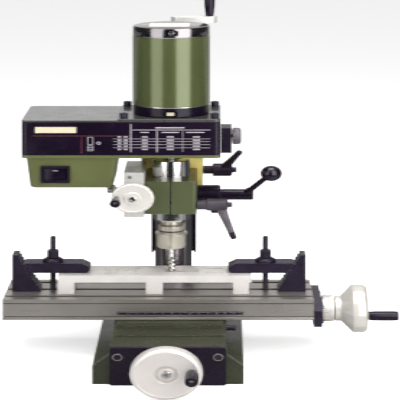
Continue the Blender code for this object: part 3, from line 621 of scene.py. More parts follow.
def feeds():
    cross_z, long_z = 44.5, 64.7
    y1 = box_of("y_handwheel")[3]
    pin = (26.8, y1, 47.5)
    handwheel("cross_handwheel", (0, y1, cross_z), TOWARDS_FRONT, pin, "wheel_y", "y_drive", "y_handwheel", 0.15)
    dial("cross_dial", (0, box_of("y_dial")[3], cross_z), TOWARDS_FRONT, "wheel_y", "y_drive", "y_dial")
    grip("cross_grip", (pin[0], box_of("y_grip")[3], pin[2]), TOWARDS_FRONT, (6.3, 7.2, 7.4, 7.3, 7.0), "y_grip", "y_grip")
    x0 = box_of("x_handwheel")[0]
    pin = (x0, -28.5, 62.0)
    handwheel("long_handwheel", (x0, 0, long_z), X_AXIS, pin, "wheel_x", "x_drive", "x_handwheel", 0.75)
    dial("long_dial", (box_of("x_dial")[0], 0, long_z), X_AXIS, "wheel_x", "x_drive", "x_dial")
    grip("long_grip", (box_of("x_grip")[0], pin[1], pin[2]), X_AXIS, (6.9, 7.3, 7.4, 7.4, 7.1), "x_grip", "x_grip")
    x0, x1 = box_of("x_leadscrew")[:2]
    profile = [(x0, 0), (x0, 4)] + threads(x0 + 1, 140, 5, 2, 0.7) + [(142, 5), (x1, 5), (x1, 0)]
    piece("long_leadscrew", turned(profile, (0, 0, long_z), X_AXIS, 32), "screw_steel", "x_drive", "x_leadscrew", 0)
    y0, y1 = box_of("y_leadscrew")[2:4]
    profile = [(-y1, 0), (-y1, 4)] + threads(-y1 + 1, 140, 5, 2, 0.7) + [(142, 5), (-y0, 5), (-y0, 0)]
    piece("cross_leadscrew", turned(profile, (0, 0, cross_z), TOWARDS_FRONT, 32), "screw_steel", "y_drive", "y_leadscrew", 0)
    lift()


def lift():
    _, _, _, _, z0, _ = box_of("z_crank")
    x, end, y = 8.0, 43.5, (box_of("column")[2] + box_of("column")[3]) / 2
    z1 = z0 + 11
    outline = arc((end, y), 9, -80, 80, 16) + arc((x, y), 11, 100, 260, 16)
    arm = carve(prism(outline, "Z", z0, z1), "DIFFERENCE", rod((x, y, z0 - 1), (x, y, z1 + 1), 4.3))
    piece("lift_crank", arm, "cast_alloy", "z_drive", "z_crank", 1.6, 4)
    piece("lift_crank_pin", rod((end, y, z1 - 3), (end, y, 566), 2.4), "screw_steel", "z_drive", bevel=0.2)
    z0, z2 = box_of("z_leadscrew")[4:]
    profile = [(z0, 0), (z0, 3)] + threads(z0 + 1, 505, 4, 2, 0.6) + [(507, 4), (z2 - 0.6, 4), (z2, 3.4), (z2, 0)]
    piece("lift_leadscrew", turned(profile, (x, y, 0), Z_AXIS, 32), "screw_steel", "z_drive", "z_leadscrew", 0)
    grip("lift_grip", (end, y, box_of("z_grip")[4]), Z_AXIS, (5.0, 5.8, 6.6, 6.8, 6.2), "z_grip", "z_grip", 38, 10)


# ---- Work and clamps -------------------------------------------------------------


def work():
    keep("workpiece", "milled", 0.5, 2)
    for side, word in ((-1, "left"), (1, "right")):
        keep(f"step_block_{word}", "black_oxide", 0.25)
        keep(f"clamp_bar_{word}", "black_oxide", 0.6, 3)
        x0, x1, y0, y1, z0, z1 = box_of(f"clamp_stud_{word}")
        x = (x0 + x1) / 2
        stud = turned([(88.9, 0), (88.9, 2.9)] + threads(89.4, 183, 3.5, 1.2, 0.4) + [(z1, 2.8), (z1, 0)], (x, 0, 0), segments=32)
        piece(f"clamp_stud_thread_{word}", stud, "black_oxide", "table", f"clamp_stud_{word}", 0)
        piece(f"clamp_stud_head_{word}", box(x0, x1, y0, y1, z0, 89.4), "black_oxide", "table", bevel=0.5)
        z0, z1 = box_of(f"clamp_nut_{word}")[4:]
        washer = turned([(0, 3.9), (0, 12), (2.4, 12), (3.2, 11.6), (5.6, 8.6), (6, 3.9)], (x, 0, z0), segments=64, ring=True)
        piece(f"clamp_washer_{word}", washer, "black_oxide", "table", f"clamp_nut_{word}", 0.2)
        nut = rod((x, 0, z0 + 6.1), (x, 0, z1), 7.6, segments=6)
        cone = turned([(0, 6.6), (2.0, 8.4), (10, 8.4), (12, 6.7)], (x, 0, z0 + 6.1), segments=48)
        nut = carve(nut, "INTERSECT", cone)
        nut = carve(nut, "DIFFERENCE", rod((x, 0, z0), (x, 0, z1 + 1), 3.8))
        piece(f"clamp_hexagon_{word}", nut, "black_oxide", "table", bevel=0.2)


# ---- Head ------------------------------------------------------------------------


def belt_box():
    x0, x1, y0, y1, z0, z1 = box_of("belt_hood")
    outer = prism(rounded(x0, x1, y0, y1, 6), "Z", z0, z1)
    inner = prism(rounded(x0 + 3, x1 - 3, y0 + 3, y1 - 3, 3), "Z", z0 - 1, z1 + 1)
    piece("belt_hood_shell", carve(outer, "DIFFERENCE", inner), "black_gloss", "head", "belt_hood", 0.9, 3)
    hood_print(y0)
    lx0, lx1, ly0, ly1, lz0, lz1 = box_of("belt_lid")
    outline = [(lx1, ly0), (lx1, ly1)] + arc((lx0 + 6, ly1 - 6), 6, 90, 180, 6) + arc((lx0 + 6, ly0 + 6), 6, 180, 270, 6)
    # The lid's dark grey is black plastic lifted by a painted sheen of the light from above.
    piece("belt_lid_panel", prism(outline, "Z", lz0, lz1), "lid_grey_painted_sheen", "belt_lid", "belt_lid", 0.8, 3)
    px0, px1, py0, py1, pz0, _ = box_of("motor_plate")
    top = pz0 + 5
    outline = [(px0, py1), (px0, py0)] + arc((px1 - 6, py0 + 6), 6, 270, 360, 6) + arc((px1 - 6, py1 - 6), 6, 0, 90, 6)
    plate = carve(prism(outline, "Z", pz0, top), "DIFFERENCE", rod((0, 0, pz0 - 1), (0, 0, top + 1), 10))
    piece("motor_plate_panel", plate, "lid_grey_painted_sheen", "head", "motor_plate", 0.8, 3)
    for x, y in ((-52.5, -41), (-52.5, 52), (50, -41), (50, 52)):
        word = f"{'left' if x < 0 else 'right'}_{'front' if y < 0 else 'back'}"
        socket_screw(f"motor_screw_{word}", (x, y, top), Z_AXIS, 4.9, 8.0, "black_oxide", "head")


def hood_print(front):
    """The hood's front: a blank plate, rules and an unlettered speed table, all slightly proud."""

    def bar(x0, x1, z0, z1):
        return box(x0, x1, front - 0.14, front + 0.1, z0, z1)

    def line(x0, x1, z, thick=0.5):
        return bar(x0, x1, z - thick / 2, z + thick / 2)

    def post(x, z0, z1, thick=0.8):
        return bar(x - thick / 2, x + thick / 2, z0, z1)

    plate = box(-151.8, -105.7, front - 0.5, front + 0.1, 367.0, 376.6)
    piece("maker_plate_blank", plate, "plate_cream", "head", bevel=0.15)
    red = [line(-155, -45.5, 362.1, 0.45), post(-99.6, 332.5, 361.8, 0.45)]
    piece("hood_print_red", merged(*red), "print_red", "head", bevel=0)
    left, right = -64.2, 44.8
    white = [post(-44.3, 335.8, 381.5, 1.0), post(-15.0, 335.8, 370.0, 0.9), post(14.0, 336.5, 370.0, 0.45)]
    white += [line(-42.8, right, 371.8, 0.8), line(-16.4, 15.8, 375.4, 1.6)]
    white += [line(x0, x1, 367.9, 1.3) for x0, x1 in ((-33.6, -24), (-9.4, 10), (17.9, 38.4))]
    white += [line(left, right, z, 0.45) for z in (357.4, 353.1, 348.1, 342.9)]
    for z in (360.6, 355.3, 350.6, 345.5, 340.4):
        for x0, x1 in ((-58.8, -55.2), (-51.8, -48.1), (-31.6, -25.5), (-3.5, 3.6), (26, 33.1)):
            count = 2 if x1 - x0 < 5 else 4
            step = (x1 - x0 + 0.5) / count
            white += [bar(x0 + step * i, x0 + step * (i + 1) - 0.5, z - 1.1, z + 1.1) for i in range(count)]
    x0, x1 = -92.6, -86.8
    for low, high in ((338.0, 346.0), (348.0, 360.0)):
        white += [post(x0, low, high, 0.6), post(x1, low, high, 0.6), line(x0, x1, low, 0.6), line(x0, x1, high, 0.6)]
    white += [line(x0, x1, z, 0.6) for z in (340.6, 343.2)]
    white.append(turned([(0, 1.5), (0, 2.3), (0.24, 2.3), (0.24, 1.5)], (-80.5, front + 0.1, 350.5), TOWARDS_FRONT, 32, ring=True))
    piece("hood_print_white", merged(*white), "print_white", "head", bevel=0)


def belt_tray():
    x0, x1, y0, y1, z0, _ = box_of("belt_tray")
    floor_z, top = 325.9, 330.4
    floor = prism(rounded(x0, x1, y0, y1, 6), "Z", floor_z, top)
    low, high = (-158, -65, -44, 48), (-162.6, -59.2, -46.2, 50.2)
    sections = []
    for drop, inset in ((0, 4.0), (0.6, 1.8), (2.0, 0.5), (4.0, 0.0), (floor_z + 2 - z0, 0.0)):
        t = drop / (floor_z + 2 - z0)
        a = [l + (h - l) * t for l, h in zip(low, high)]
        outline = rounded(a[0] + inset, a[1] - inset, a[2] + inset, a[3] - inset, 6)
        sections.append([(x, y, z0 + drop) for x, y in outline])
    tray = carve(floor, "UNION", loft(sections))
    cavity = prism(rounded(-150, -72, -36, 42, 3), "Z", 281, top + 1)
    opening = box(-143, -116, -50, -30, 288.5, 308.5)
    tray = carve(tray, "DIFFERENCE", cavity, opening, rod((0, 0, floor_z - 1), (0, 0, top + 1), 9.8, segments=48))
    post_top = 380
    piece("belt_tray_casting", tray, "green_enamel", "head", "belt_tray", 0.5)
    post = turned([(280, 7), (290, 7), (292, 4), (post_top - 0.6, 4), (post_top, 3.4)], (-110, 0, 0), segments=40)
    piece("countershaft_post", post, "screw_steel", "head", bevel=0)
    bezel_front = carve(
        prism(rounded(-146.0, -113.0, 284.6, 312.3, 1.5), "Y", -47.8, -44.0),
        "DIFFERENCE",
        prism(rounded(-142.8, -116.2, 288.7, 308.3, 0.8), "Y", -60, -30),
    )
    piece("switch_bezel", bezel_front, "black_moulded", "head", bevel=0.4, steps=3)
    rocker()


def rocker():
    x0, x1, y0, y1, z0, z1 = box_of("switch_rocker")
    middle = (x0 + x1) / 2
    outline = [(x0, y1), (x0, y0)]
    for i in range(1, 12):
        t = i / 12
        outline.append((x0 + (x1 - x0) * t, y0 + 3.6 * t + 1.3 * math.sin(math.pi * t)))
    outline += [(x1, y0 + 3.6), (x1, y1)]
    piece("switch_rocker_cap", prism(outline, "Z", z0, z1), "black_gloss", "rocker", "switch_rocker", 0.4, 3)
    mark = box(middle - 3.0, middle + 3.0, y0 + 0.6, y0 + 3.4, z1 - 3.4, z1 - 2.7)
    piece("switch_mark", mark, "print_white", "rocker", bevel=0)


def castings():
    keep("head_carrier", "yellow_enamel", 1.2, 3)
    keep("quill_housing", "block_enamel", 0.8, 3)
    keep("feed_housing", "cast_alloy", 0.8, 3)
    keep("tension_bracket", "black_moulded", 0.9, 3)
    x0, x1, y0, y1, z0, z1 = box_of("pinion_boss")
    y, z, r = (y0 + y1) / 2, (z0 + z1) / 2, (z1 - z0) / 2
    profile = [(x0, 9.1), (x0, r - 0.8), (x0 + 0.8, r), (x1 - 1.6, r), (x1, r - 1.6), (x1, 9.1)]
    piece("pinion_boss_sleeve", turned(profile, (0, y, z), X_AXIS, 72, ring=True), "black_gloss", "head", "pinion_boss", 0.3)
    socket_screw("feed_cover_screw_top", (-46, -34.0, 291), TOWARDS_FRONT, 2.6, 1.6, "screw_steel", "head")
    thumb = [(0, 0), (0, 2.6), (11, 2.6), (11.6, 6), (13, 6.4), (20, 6.4), (21.4, 5.6), (21.4, 0)]
    knurl = lambda a, n: 1 + (0.03 * math.cos(28 * a) if n in (4, 5) else 0)
    screw = turned(thumb, (-52.8, 8, 260.4), (-1, 0, 0), 112, shape=knurl)
    piece("feed_clutch_screw", screw, "cutter_steel", "head", bevel=0.15)
    nut = turned([(0, 5.5), (3, 5.5)], (-35.6, 75, 275.5), (-1, 0, 0), 6)
    piece("column_clamp_nut", nut, "black_oxide", "head", bevel=0.3)


def motor():
    radius = 44.4
    z0, z1 = box_of("motor_shell")[4:]
    profile = [(z0, 41), (z0, radius - 0.3), (z0 + 0.4, radius), (z1 - 0.4, radius), (z1, radius - 0.3), (z1, 41)]
    piece("motor_shell_tube", turned(profile, (0, 0, 0), segments=128, ring=True), "motor_enamel", "head", "motor_shell", 0)
    for word, z in (("lower", z0 - 0.15), ("upper", z1 + 0.15)):
        bead = turned([(-0.5, 43.6), (-0.5, 44.6), (0, 44.9), (0.5, 44.6), (0.5, 43.6)], (0, 0, z), segments=128, ring=True)
        piece(f"motor_bead_{word}", bead, "polished", "head", bevel=0)
    z0, z1 = box_of("motor_bottom_bell")[4:]
    z1 -= 0.4
    profile = [(z0, 4.6), (z0, radius - 1.2), (z0 + 0.8, radius - 0.4), (z1, radius - 0.4), (z1, 38), (z0 + 6, 38), (z0 + 6, 4.6)]
    window = prism(rounded(-8, 8, z0 + 1.5, z0 + 10.5, 2), "Y", -50, -39)
    bell = carve(turned(profile, (0, 0, 0), segments=128, ring=True), "DIFFERENCE", window)
    piece("motor_lower_bell", bell, "black_gloss", "head", "motor_bottom_bell", 0.3)
    clip = prism(rounded(-4.2, 4.2, z0 + 3, z0 + 8.4, 1), "Y", -42.5, -37.5)
    piece("motor_terminal_clip", clip, "plate_cream", "head", bevel=0.3)
    z0, z1 = box_of("motor_top_bell")[4:]
    z0 += 0.4
    profile = [(z0 + 8, 0), (z0 + 8, 38), (z0, 38), (z0, radius - 0.4), (z1 - 2.2, radius - 0.4)]
    profile += [(z1 - 0.6, radius - 1.2), (z1, radius - 3), (z1, 0)]
    window = prism(rounded(-7, 9, z0 + 3, z0 + 11.5, 2), "Y", -50, -38.5)
    bell = carve(turned(profile, (0, 0, 0), segments=128), "DIFFERENCE", window)
    piece("motor_upper_bell", bell, "motor_cap", "head", "motor_top_bell", 0.3)
    socket_screw("motor_window_screw", (1, -38.6, z0 + 7.2), TOWARDS_FRONT, 3.4, 3.2, "polished", "head")
    label = prism(rounded(-25, 21, -21, 18, 1.5), "Z", z1 - 0.05, z1 + 0.25)
    piece("motor_label_blank", label, "label_grey", "head", bevel=0.1)


def belt_drive():
    rotor = [(357, 0), (357, 6), (359, 6), (359, 14), (361, 14), (364, 10), (376, 10), (379, 14), (380.4, 14), (380.4, 4)]
    rotor += [(408, 4), (408, 30), (500, 30), (500, 4), (522, 4), (522, 0)]
    piece("motor_rotor_turned", turned(rotor, (0, 0, 0), segments=96), "pulley_metal", "motor_rotor", "motor_rotor", 0.25)
    x = -110.0
    counter = [(332.5, 4.4), (332.5, 14.4), (333.5, 15), (336, 15), (339, 12), (349, 12), (352, 15), (357, 16)]
    counter += [(360, 20), (360, 34.4), (360.6, 35), (362, 35), (365, 32), (375, 32), (378, 35), (379.4, 35)]
    counter += [(380, 34.4), (380, 14), (378, 12), (378, 8), (380, 7), (380, 4.4)]
    pulley = turned(counter, (x, 0, 0), segments=96, ring=True)
    piece("countershaft_pulley_turned", pulley, "pulley_metal", "countershaft", "countershaft_pulley", 0.25)
    spindle = [(316, 6.4), (316, 9.4), (333, 9.4), (333, 32.4), (333.6, 33), (335.5, 33), (338.5, 30), (349.5, 30)]
    spindle += [(352.5, 33), (353.4, 33), (354, 32.4), (354, 12), (352.5, 11), (352.5, 6.4)]
    pulley = turned(spindle, (0, 0, 0), segments=96, ring=True)
    piece("spindle_pulley_turned", pulley, "pulley_metal", "spindle_pulley", "spindle_pulley", 0.25)
    for name, radius, small, z0, z1 in (("belt_upper", 10, 32, 365, 375), ("belt_lower", 30, 12, 338, 350)):
        lean = math.degrees(math.acos((radius - small) / x))

        def outline(extra):
            first = arc((0, 0), radius + extra, -lean, lean, 40)
            return first + arc((x, 0), small + extra, lean, 360 - lean, 40)

        rows = []
        for extra, z in ((1.0, z0 + 2), (3.6, z0), (4.2, z0 + 0.6), (4.2, z1 - 0.6), (3.6, z1), (1.0, z1 - 2)):
            rows.append([(px, py, z) for px, py in outline(extra)])
        bm = bmesh.new()
        made = [[bm.verts.new(p) for p in row] for row in rows]
        for low, high in zip(made, made[1:] + made[:1]):
            for i, j in around(len(low)):
                bm.faces.new((low[i], low[j], high[j], high[i]))
        piece(f"{name}_band", bm, "belt_rubber", "head", name, 0)


def spindle():
    r, z0, z1 = 21.8, *box_of("quill_sleeve")[4:]
    sleeve = [(z1, 10.5), (z1, r - 0.8), (z1 - 0.8, r), (z0 + 11.4, r), (z0 + 10.2, r - 1.0), (z0 + 0.6, 13.2), (z0, 12.5), (z0, 10.5)]
    piece("quill_barrel", turned(sleeve, (0, 0, 0), segments=96, ring=True), "polished", "quill", "quill_sleeve", 0.25)
    shaft = [(352, 0), (352, 5.4), (351.4, 5.8), (311, 5.8), (311, 10), (181, 10), (181, 4.4), (201, 4.4), (201, 0)]
    piece("spindle_bar", turned(shaft, (0, 0, 0)), "screw_steel", "spindle", "spindle_shaft", 0.2)
    nut = [(203.2, 10.3), (203.2, 14.6), (202.4, 15.4), (196.4, 15.4), (195.6, 14.4), (193.6, 14.4), (191.2, 18.3)]
    nut += [(170.4, 18.3), (167.4, 16.4), (166.6, 14.6), (166.6, 4.6), (172, 4.6), (172, 10.3)]
    bm = turned(nut, (0, 0, 0), segments=120, ring=True)
    grooves, flats = [], []
    for i in range(6):
        c, s = math.cos(math.radians(60 * i)), math.sin(math.radians(60 * i))
        grooves.append(rod((c * 18.6, s * 18.6, 193.8), (c * 18.6, s * 18.6, 205), 4.2, segments=24))
        outline = [(16.7, -20), (24, -20), (24, 20), (16.7, 20)]
        flats.append(prism([(c * x - s * y, s * x + c * y) for x, y in outline], "Z", 160, 188.6))
    bm = carve(bm, "DIFFERENCE", *grooves, *flats)
    piece("collet_nut_turned", bm, "collet_steel", "spindle", "collet_nut", 0.35)
    ring = turned([(194, 14.3), (194, 14.9), (195.4, 14.9), (195.4, 14.3)], (0, 0, 0), segments=96, ring=True)
    piece("collet_nut_ring", ring, "black_oxide", "spindle", bevel=0.1)
    cutter()


def cutter():
    """A four-flute end mill: a plain shank and a twisted, relieved end."""
    z0, z1 = box_of("end_mill")[4:]
    flutes, count, top = 4, 64, 150.0
    sections = []
    rows = 48
    for k in range(rows + 1):
        z = z0 + (top - z0) * k / rows
        run_out = min(1.0, (top - z) / 4.0)
        twist = math.radians(360 / 26 * (z - z0))
        row = []
        for i in range(count):
            angle = 2 * math.pi * i / count
            phase = ((angle - twist) * flutes / (2 * math.pi)) % 1.0
            dip = 0.42 * math.sin(math.pi * phase) ** 0.7 * (1 - 0.35 * phase)
            r = 4.4 * (1 - dip * run_out)
            row.append((r * math.cos(angle), r * math.sin(angle), z))
        sections.append(row)
    for z, r in ((top + 1, 4.4), (top + 2, 4.0), (z1 - 0.5, 4.0), (z1, 3.6)):
        sections.append([(x / math.hypot(x, y) * r, y / math.hypot(x, y) * r, z) for x, y, _ in sections[0]])
    piece("end_mill_fluted", loft(sections), "cutter_steel", "spindle", "end_mill", 0)


# ---- Controls --------------------------------------------------------------------


def quill_lever():
    y, z = 29.5, 245.5
    profile = [(-49.5, 0), (-49.5, 4.4), (-49, 5), (-46.5, 5), (-46.5, 10.5), (-38, 10.5), (-38, 7.2), (30.2, 7.2)]
    profile += [(30.2, 8.7), (57.4, 8.7), (57.4, 8.2), (58.2, 8.2), (58.2, 8.7), (93.6, 8.7), (94.8, 7.6), (94.8, 0)]
    shaft = turned(profile, (0, y, z), X_AXIS, 72)
    root, ball = (84.5, y, z), (114.8, -1.0, 288.6)
    length = math.dist(root, ball)
    axis = tuple((b - r) / length for r, b in zip(root, ball))
    point = lambda d: tuple(r + a * d for r, a in zip(root, axis))
    shaft = carve(shaft, "UNION", rod(point(2), point(12), 5.6, 5.2))
    piece("pinion_shaft_turned", shaft, "black_gloss", "quill_lever", "pinion_shaft", 0.3)
    arm = [(10, 0), (10, 4.3), (14, 4.3), (15, 3.9), (length - 12, 3.6), (length - 10, 4.6), (length - 8, 0)]
    piece("lever_arm_rod", turned(arm, root, axis, 40), "black_gloss", "quill_lever", "lever_arm", 0.2)
    radius, steps = 12.4, 40
    sphere = [(-radius * math.cos(math.pi * i / steps), radius * math.sin(math.pi * i / steps)) for i in range(1, steps)]
    sphere = [(d, max(r, 4.8)) if d < 0 else (d, r) for d, r in sphere if d > -radius * 0.93 or r > 4.8]
    sphere = [(sphere[0][0], 0)] + sphere + [(radius, 0)]
    piece("lever_ball_knob", turned(sphere, ball, axis, 72), "ball_gloss", "quill_lever", "lever_ball", 0)


def fine_feed():
    x, z = -42.2, 261.0
    back = box_of("feed_wheel")[3]
    profile = [(0, 0), (0, 4.0), (0.6, 4.6), (17, 4.6), (17, 4), (72.4, 4), (72.4, 8.4), (73, 9), (80.6, 9), (81.6, 9.8)]
    profile += [(84.6, 21.2), (86.0, 23.6), (87.2, 24.2), (91.6, 24.2), (92.9, 23.4), (93.5, 22.2), (93.5, 20.8)]
    profile += [(92.9, 20.2), (91.9, 12.2), (91.9, 10.4), (92.8, 9.8), (93.8, 9.2), (93.8, 0)]
    piece("feed_wheel_turned", turned(profile, (x, back, z), TOWARDS_FRONT, 112), "wheel_feed", "fine_feed", "feed_wheel", 0.2)
    front = back - 93.8
    socket_screw("feed_wheel_screw", (x, front + 0.1, z), TOWARDS_FRONT, 4.2, 2.4, "polished", "fine_feed")
    kx, kz = -60.2, 262.2
    piece("feed_grip_pin", rod((kx, -50, kz), (kx, -87, kz), 1.8), "screw_steel", "fine_feed", bevel=0.2)
    marks = []
    for i in range(20):
        angle = 2 * math.pi * i / 20
        c, s = math.cos(angle), math.sin(angle)
        rows = []
        for y in (front + 0.22, front + 0.6):
            rows.append([(x + c * r - s * w, y, z + s * r + c * w) for r, w in ((21.2, -0.15), (23.0, -0.15), (23.0, 0.15), (21.2, 0.15))])
        marks.append(loft(rows))
    piece("feed_wheel_divisions", merged(*marks), "black_oxide", "fine_feed", bevel=0)
    grip("feed_knob", (kx, box_of("feed_grip")[3], kz), TOWARDS_FRONT, (3.6, 4.0, 4.9, 5.9, 6.2), "feed_grip", "feed_grip", 33.5, 8)


def clamping_lever(name, node, body, axis_yz, start, hub, handle, finish, hub_finish="black_oxide"):
    """A bolt and stepped hub along X, with a flattened, tapering handle."""
    y, z = axis_yz
    (a, ra), (b, rb), (c, rc) = hub
    profile = [(start, 0), (start, 2.4), (a, 2.4), (a, ra - 0.6), (a + 0.6, ra), (b, ra), (b, rb - 1.2), (b + 1.2, rb)]
    profile += [(c - 2.6, rb), (c - 0.4, rb - 2.2), (c, rc), (c + 4.2, rc), (c + 4.8, rc - 0.6), (c + 4.8, 0)]
    lever = turned(profile, (0, y, z), X_AXIS, 72)
    piece(f"{name}_hub", lever, hub_finish, body, node, 0.2)
    root, tip, wide, thin = handle
    length = math.dist(root, tip)
    d = tuple((t - r) / length for r, t in zip(root, tip))
    side = cross(d, X_AXIS)
    size = math.sqrt(sum(k * k for k in side))
    side = tuple(k / size for k in side)
    face = cross(side, d)
    sections = []
    for t, scale in ((0, 1.0), (0.12, 0.98), (0.35, 0.84), (0.6, 0.72), (0.8, 0.66), (0.92, 0.68), (0.975, 0.56), (1, 0.3)):
        row = []
        for i in range(32):
            angle = 2 * math.pi * i / 32
            c0, s0 = math.cos(angle), math.sin(angle)
            u = wide * scale * math.copysign(abs(c0) ** 0.8, c0)
            v = thin * scale * math.copysign(abs(s0) ** 0.8, s0)
            row.append([root[k] + d[k] * length * t + face[k] * u + side[k] * v for k in range(3)])
        sections.append(row)
    piece(f"{name}_handle", loft(sections), finish, body, bevel=0.2)


def controls():
    quill_lever()
    fine_feed()
    clamping_lever("quill_lock", "quill_lock_lever", "quill_lock", (-28.0, 244.2), -29.0,
                   ((30.0, 7.7), (40.0, 9.3), (65.3, 3.8)), ((56.5, -28, 240), (71.5, -28, 189.5), 6.0, 4.6), "lever_grey", "hub_grey")
    tip = [(0, 3.0), (0.5, 4.0), (9, 3.8), (11.5, 3.2), (12, 0)]
    piece("quill_lock_tip", turned([(0, 0)] + tip, (68.6, -28, 199.6), (0.284, 0, -0.959), 32), "black_oxide", "quill_lock", bevel=0.2)
    socket_screw("quill_lock_screw", (49.5, -28, 235.4), (0, 0, -1), 4.2, 4.0, "black_oxide", "quill_lock")
    clamping_lever("column_lock", "column_lock_lever", "column_lock", (75.0, 275.5), -35.0,
                   ((36.0, 6.7), (47.0, 10.5), (70.9, 4.2)), ((61, 72, 280), (80, 47, 314), 5.8, 4.6), "black_oxide")
    x0, x1, y0, y1, z0, z1 = box_of("tension_knob")
    y, z = (y0 + y1) / 2, (z0 + z1) / 2
    knurl = lambda a, n: 1 + (0.02 * math.cos(36 * a) if n in (5, 6, 7) else 0)
    profile = [(0, 0), (0, 2.5), (12.4, 2.5), (12.4, 9), (12.8, 11.4), (13.4, 12.7), (14.2, 12.9), (20, 12.9), (21.6, 12.2)]
    profile += [(22.6, 10.4), (22.7, 9.4), (22.1, 8.6), (22.1, 0)]
    piece("tension_knob_turned", turned(profile, (x0, y, z), X_AXIS, 144, shape=knurl), "lever_grey", "tension_knob", "tension_knob", 0)


# ---- Stage, light and camera -------------------------------------------------------


def area_light(name, place, aim, size, power, colour=(1, 1, 1)):
    data = bpy.data.lights.new(name, "AREA")
    data.shape = "RECTANGLE"
    data.size, data.size_y = size
    data.energy = power
    data.color = colour
    obj = bpy.data.objects.new(name, data)
    obj.location = place
    direction = [a - p for a, p in zip(aim, place)]
    from mathutils import Vector

    obj.rotation_euler = Vector(direction).to_track_quat("-Z", "Y").to_euler()
    obj.visible_camera = False
    bpy.context.scene.collection.objects.link(obj)


def studio():
    mesh = bpy.data.meshes.new("floor")
    bm = bmesh.new()
    bmesh.ops.create_circle(bm, cap_ends=True, segments=64, radius=14)
    bm.to_mesh(mesh)
    bm.free()
    floor = bpy.data.objects.new("floor", mesh)
    bpy.context.scene.collection.objects.link(floor)
    mesh.materials.append(floor_material())
    world = bpy.data.worlds.new("studio")
    bpy.context.scene.world = world
    world.use_nodes = True
    room = NodeTree(world.node_tree)
    room.light("Background", surroundings(room))
    area_light("left_panel", (-0.60, -0.67, 0.62), (0, 0, 0.42), (0.60, 1.2), 4.6)
    area_light("right_panel", (0.54, -0.72, 0.62), (0, 0, 0.42), (0.75, 1.2), 9.5)
    area_light("top_panel", (0, -0.15, 1.9), (0, 0, 0.2), (1.5, 1.1), 29)


class NodeTree:
    """A short way to wire a node tree."""

    def __init__(self, tree):
        self.tree = tree

    def new(self, kind, **inputs):
        made = self.tree.nodes.new(kind)
        for name, value in inputs.items():
            made.inputs[name].default_value = value
        return made

    def link(self, out, into):
        self.tree.links.new(out, into)

    def ramp(self, value, stops):
        """A grey level from a value, through (value, level) stops."""
        curve = self.new("ShaderNodeValToRGB")
        low, high = stops[0][0], stops[-1][0]
        elements = curve.color_ramp.elements
        while len(elements) < len(stops):
            elements.new(0.5)
        for element, (place, level) in zip(elements, stops):
            element.position = (place - low) / (high - low)
            element.color = (level, level, level, 1)
        spread = self.new("ShaderNodeMapRange", **{"From Min": low, "From Max": high})
        self.link(value, spread.inputs["Value"])
        self.link(spread.outputs[0], curve.inputs[0])
        return curve.outputs[0]

    def choose(self, share, a, b):
        made = self.new("ShaderNodeMix")
        made.data_type = "RGBA"
        self.link(share, made.inputs["Factor"])
        colours = [s for s in made.inputs if s.type == "RGBA"]
        for value, socket in zip((a, b), colours):
            if isinstance(value, float):
                socket.default_value = (value, value, value, 1)
            else:
                self.link(value, socket)
        return next(s for s in made.outputs if s.type == "RGBA")

    def light(self, name, colour):
        self.link(colour, self.tree.nodes[name].inputs["Color"])


def surroundings(room):
    """White to the camera. To the object: a bright wall behind and above, and a dark room in front."""
    coordinates = room.new("ShaderNodeTexCoord")
    split = room.new("ShaderNodeSeparateXYZ")
    room.link(coordinates.outputs["Generated"], split.inputs[0])
    wall = room.ramp(split.outputs["Y"], ((-1, 0.03), (0.72, 0.05), (0.88, 0.7), (1, 0.95)))
    above = room.ramp(split.outputs["Z"], ((-1, 0.0), (0.45, 0.0), (0.75, 0.45), (1, 0.5)))
    both = room.new("ShaderNodeMix")
    both.data_type = "RGBA"
    both.blend_type = "LIGHTEN"
    both.inputs["Factor"].default_value = 1.0
    colours = [s for s in both.inputs if s.type == "RGBA"]
    room.link(wall, colours[0])
    room.link(above, colours[1])
    seen = next(s for s in both.outputs if s.type == "RGBA")
    return room.choose(room.new("ShaderNodeLightPath").outputs["Is Camera Ray"], seen, 1.0)


def floor_material():
    """Pale to the camera; in mirrored rays the floor darkens towards the front, as an unlit room does."""
    pale = bpy.data.materials.new("pale_floor")
    pale.use_nodes = True
    tree = NodeTree(pale.node_tree)
    shader = pale.node_tree.nodes["Principled BSDF"]
    place = tree.new("ShaderNodeTexCoord")
    split = tree.new("ShaderNodeSeparateXYZ")
    tree.link(place.outputs["Object"], split.inputs[0])
    mirrored = tree.ramp(split.outputs["Y"], ((-0.6, 0.02), (-0.42, 0.2), (-0.1, 0.42), (0.1, 0.08), (0.9, 0.08), (1.4, 0.8)))
    path = tree.new("ShaderNodeLightPath")
    tree.link(tree.choose(path.outputs["Is Glossy Ray"], 0.92, mirrored), shader.inputs["Base Color"])
    shader.inputs["Roughness"].default_value = 1.0
    shader.inputs["Specular IOR Level"].default_value = 0.0
    shader.inputs["Emission Color"].default_value = (1, 1, 1, 1)
    glow = tree.new("ShaderNodeMath")
    glow.operation = "MULTIPLY"
    tree.link(path.outputs["Is Camera Ray"], glow.inputs[0])
    glow.inputs[1].default_value = 0.55
    tree.link(glow.outputs[0], shader.inputs["Emission Strength"])
    return pale


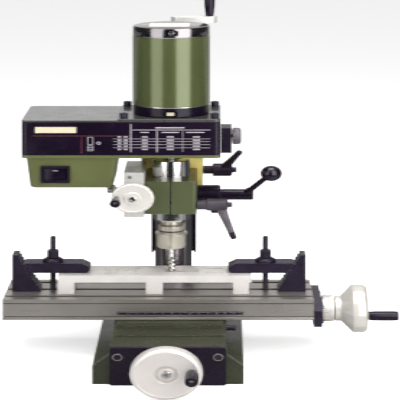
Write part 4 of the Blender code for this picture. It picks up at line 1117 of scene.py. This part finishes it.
def camera():
    """The photograph is stretched sideways by STRETCH, and looks level while seeing the machine from above.

    At the photograph's camera position alone, drivers shift the lens and the compositor stretches the
    picture in the same way, so the main render lies over the photograph. Every other view is left true.
    """
    stretch, shift_x, shift_y, camera_y = 1.445, -0.033, -0.95, -2.291
    data = bpy.data.cameras.new("camera")
    cam = bpy.data.objects.new("camera", data)
    cam.location = (0.0549, camera_y, 0.875)
    cam.rotation_euler = (math.pi / 2, 0, 0)
    data.lens, data.sensor_width = 124.2, 36
    scene = bpy.context.scene
    scene.collection.objects.link(cam)
    scene.camera = cam

    def drive(owner, path, here, elsewhere):
        driver = owner.driver_add(path).driver
        driver.type = "SCRIPTED"
        variable = driver.variables.new()
        variable.name = "y"
        variable.type = "TRANSFORMS"
        target = variable.targets[0]
        target.id, target.transform_type, target.transform_space = cam, "LOC_Y", "WORLD_SPACE"
        driver.expression = f"{here} if abs(y - {camera_y}) < 0.0005 else {elsewhere}"

    drive(data, "shift_x", shift_x, 0.0)
    drive(data, "shift_y", shift_y, 0.0)
    scene.use_nodes = True
    tree = scene.node_tree
    for old in list(tree.nodes):
        tree.nodes.remove(old)
    layers = tree.nodes.new("CompositorNodeRLayers")
    scale = tree.nodes.new("CompositorNodeScale")
    scale.space = "RELATIVE"
    result = tree.nodes.new("CompositorNodeComposite")
    tree.links.new(layers.outputs[0], scale.inputs[0])
    tree.links.new(scale.outputs[0], result.inputs[0])
    drive(scale.inputs[1], "default_value", stretch, 1.0)
    scale.inputs[2].default_value = 1.0
    scene.view_settings.view_transform = "Standard"


make_finishes()
# The lid and motor plate: black plastic lifted to dark grey, a painted sheen of the light falling on the top from
# above.
Finish("lid_grey_painted_sheen", "black_plastic", (0.05, 0.047, 0.045), 0.30, 0.0, 0.6).mottle(12, 0.12).vary_roughness(
    60, 0.06
).grain(1200, 0.015).worn_and_highlit_edges((0.12, 0.11, 0.12), 0.5, 0.8)
base_and_column()
slides()
feeds()
work()
belt_box()
belt_tray()
castings()
motor()
belt_drive()
spindle()
controls()
studio()
camera()
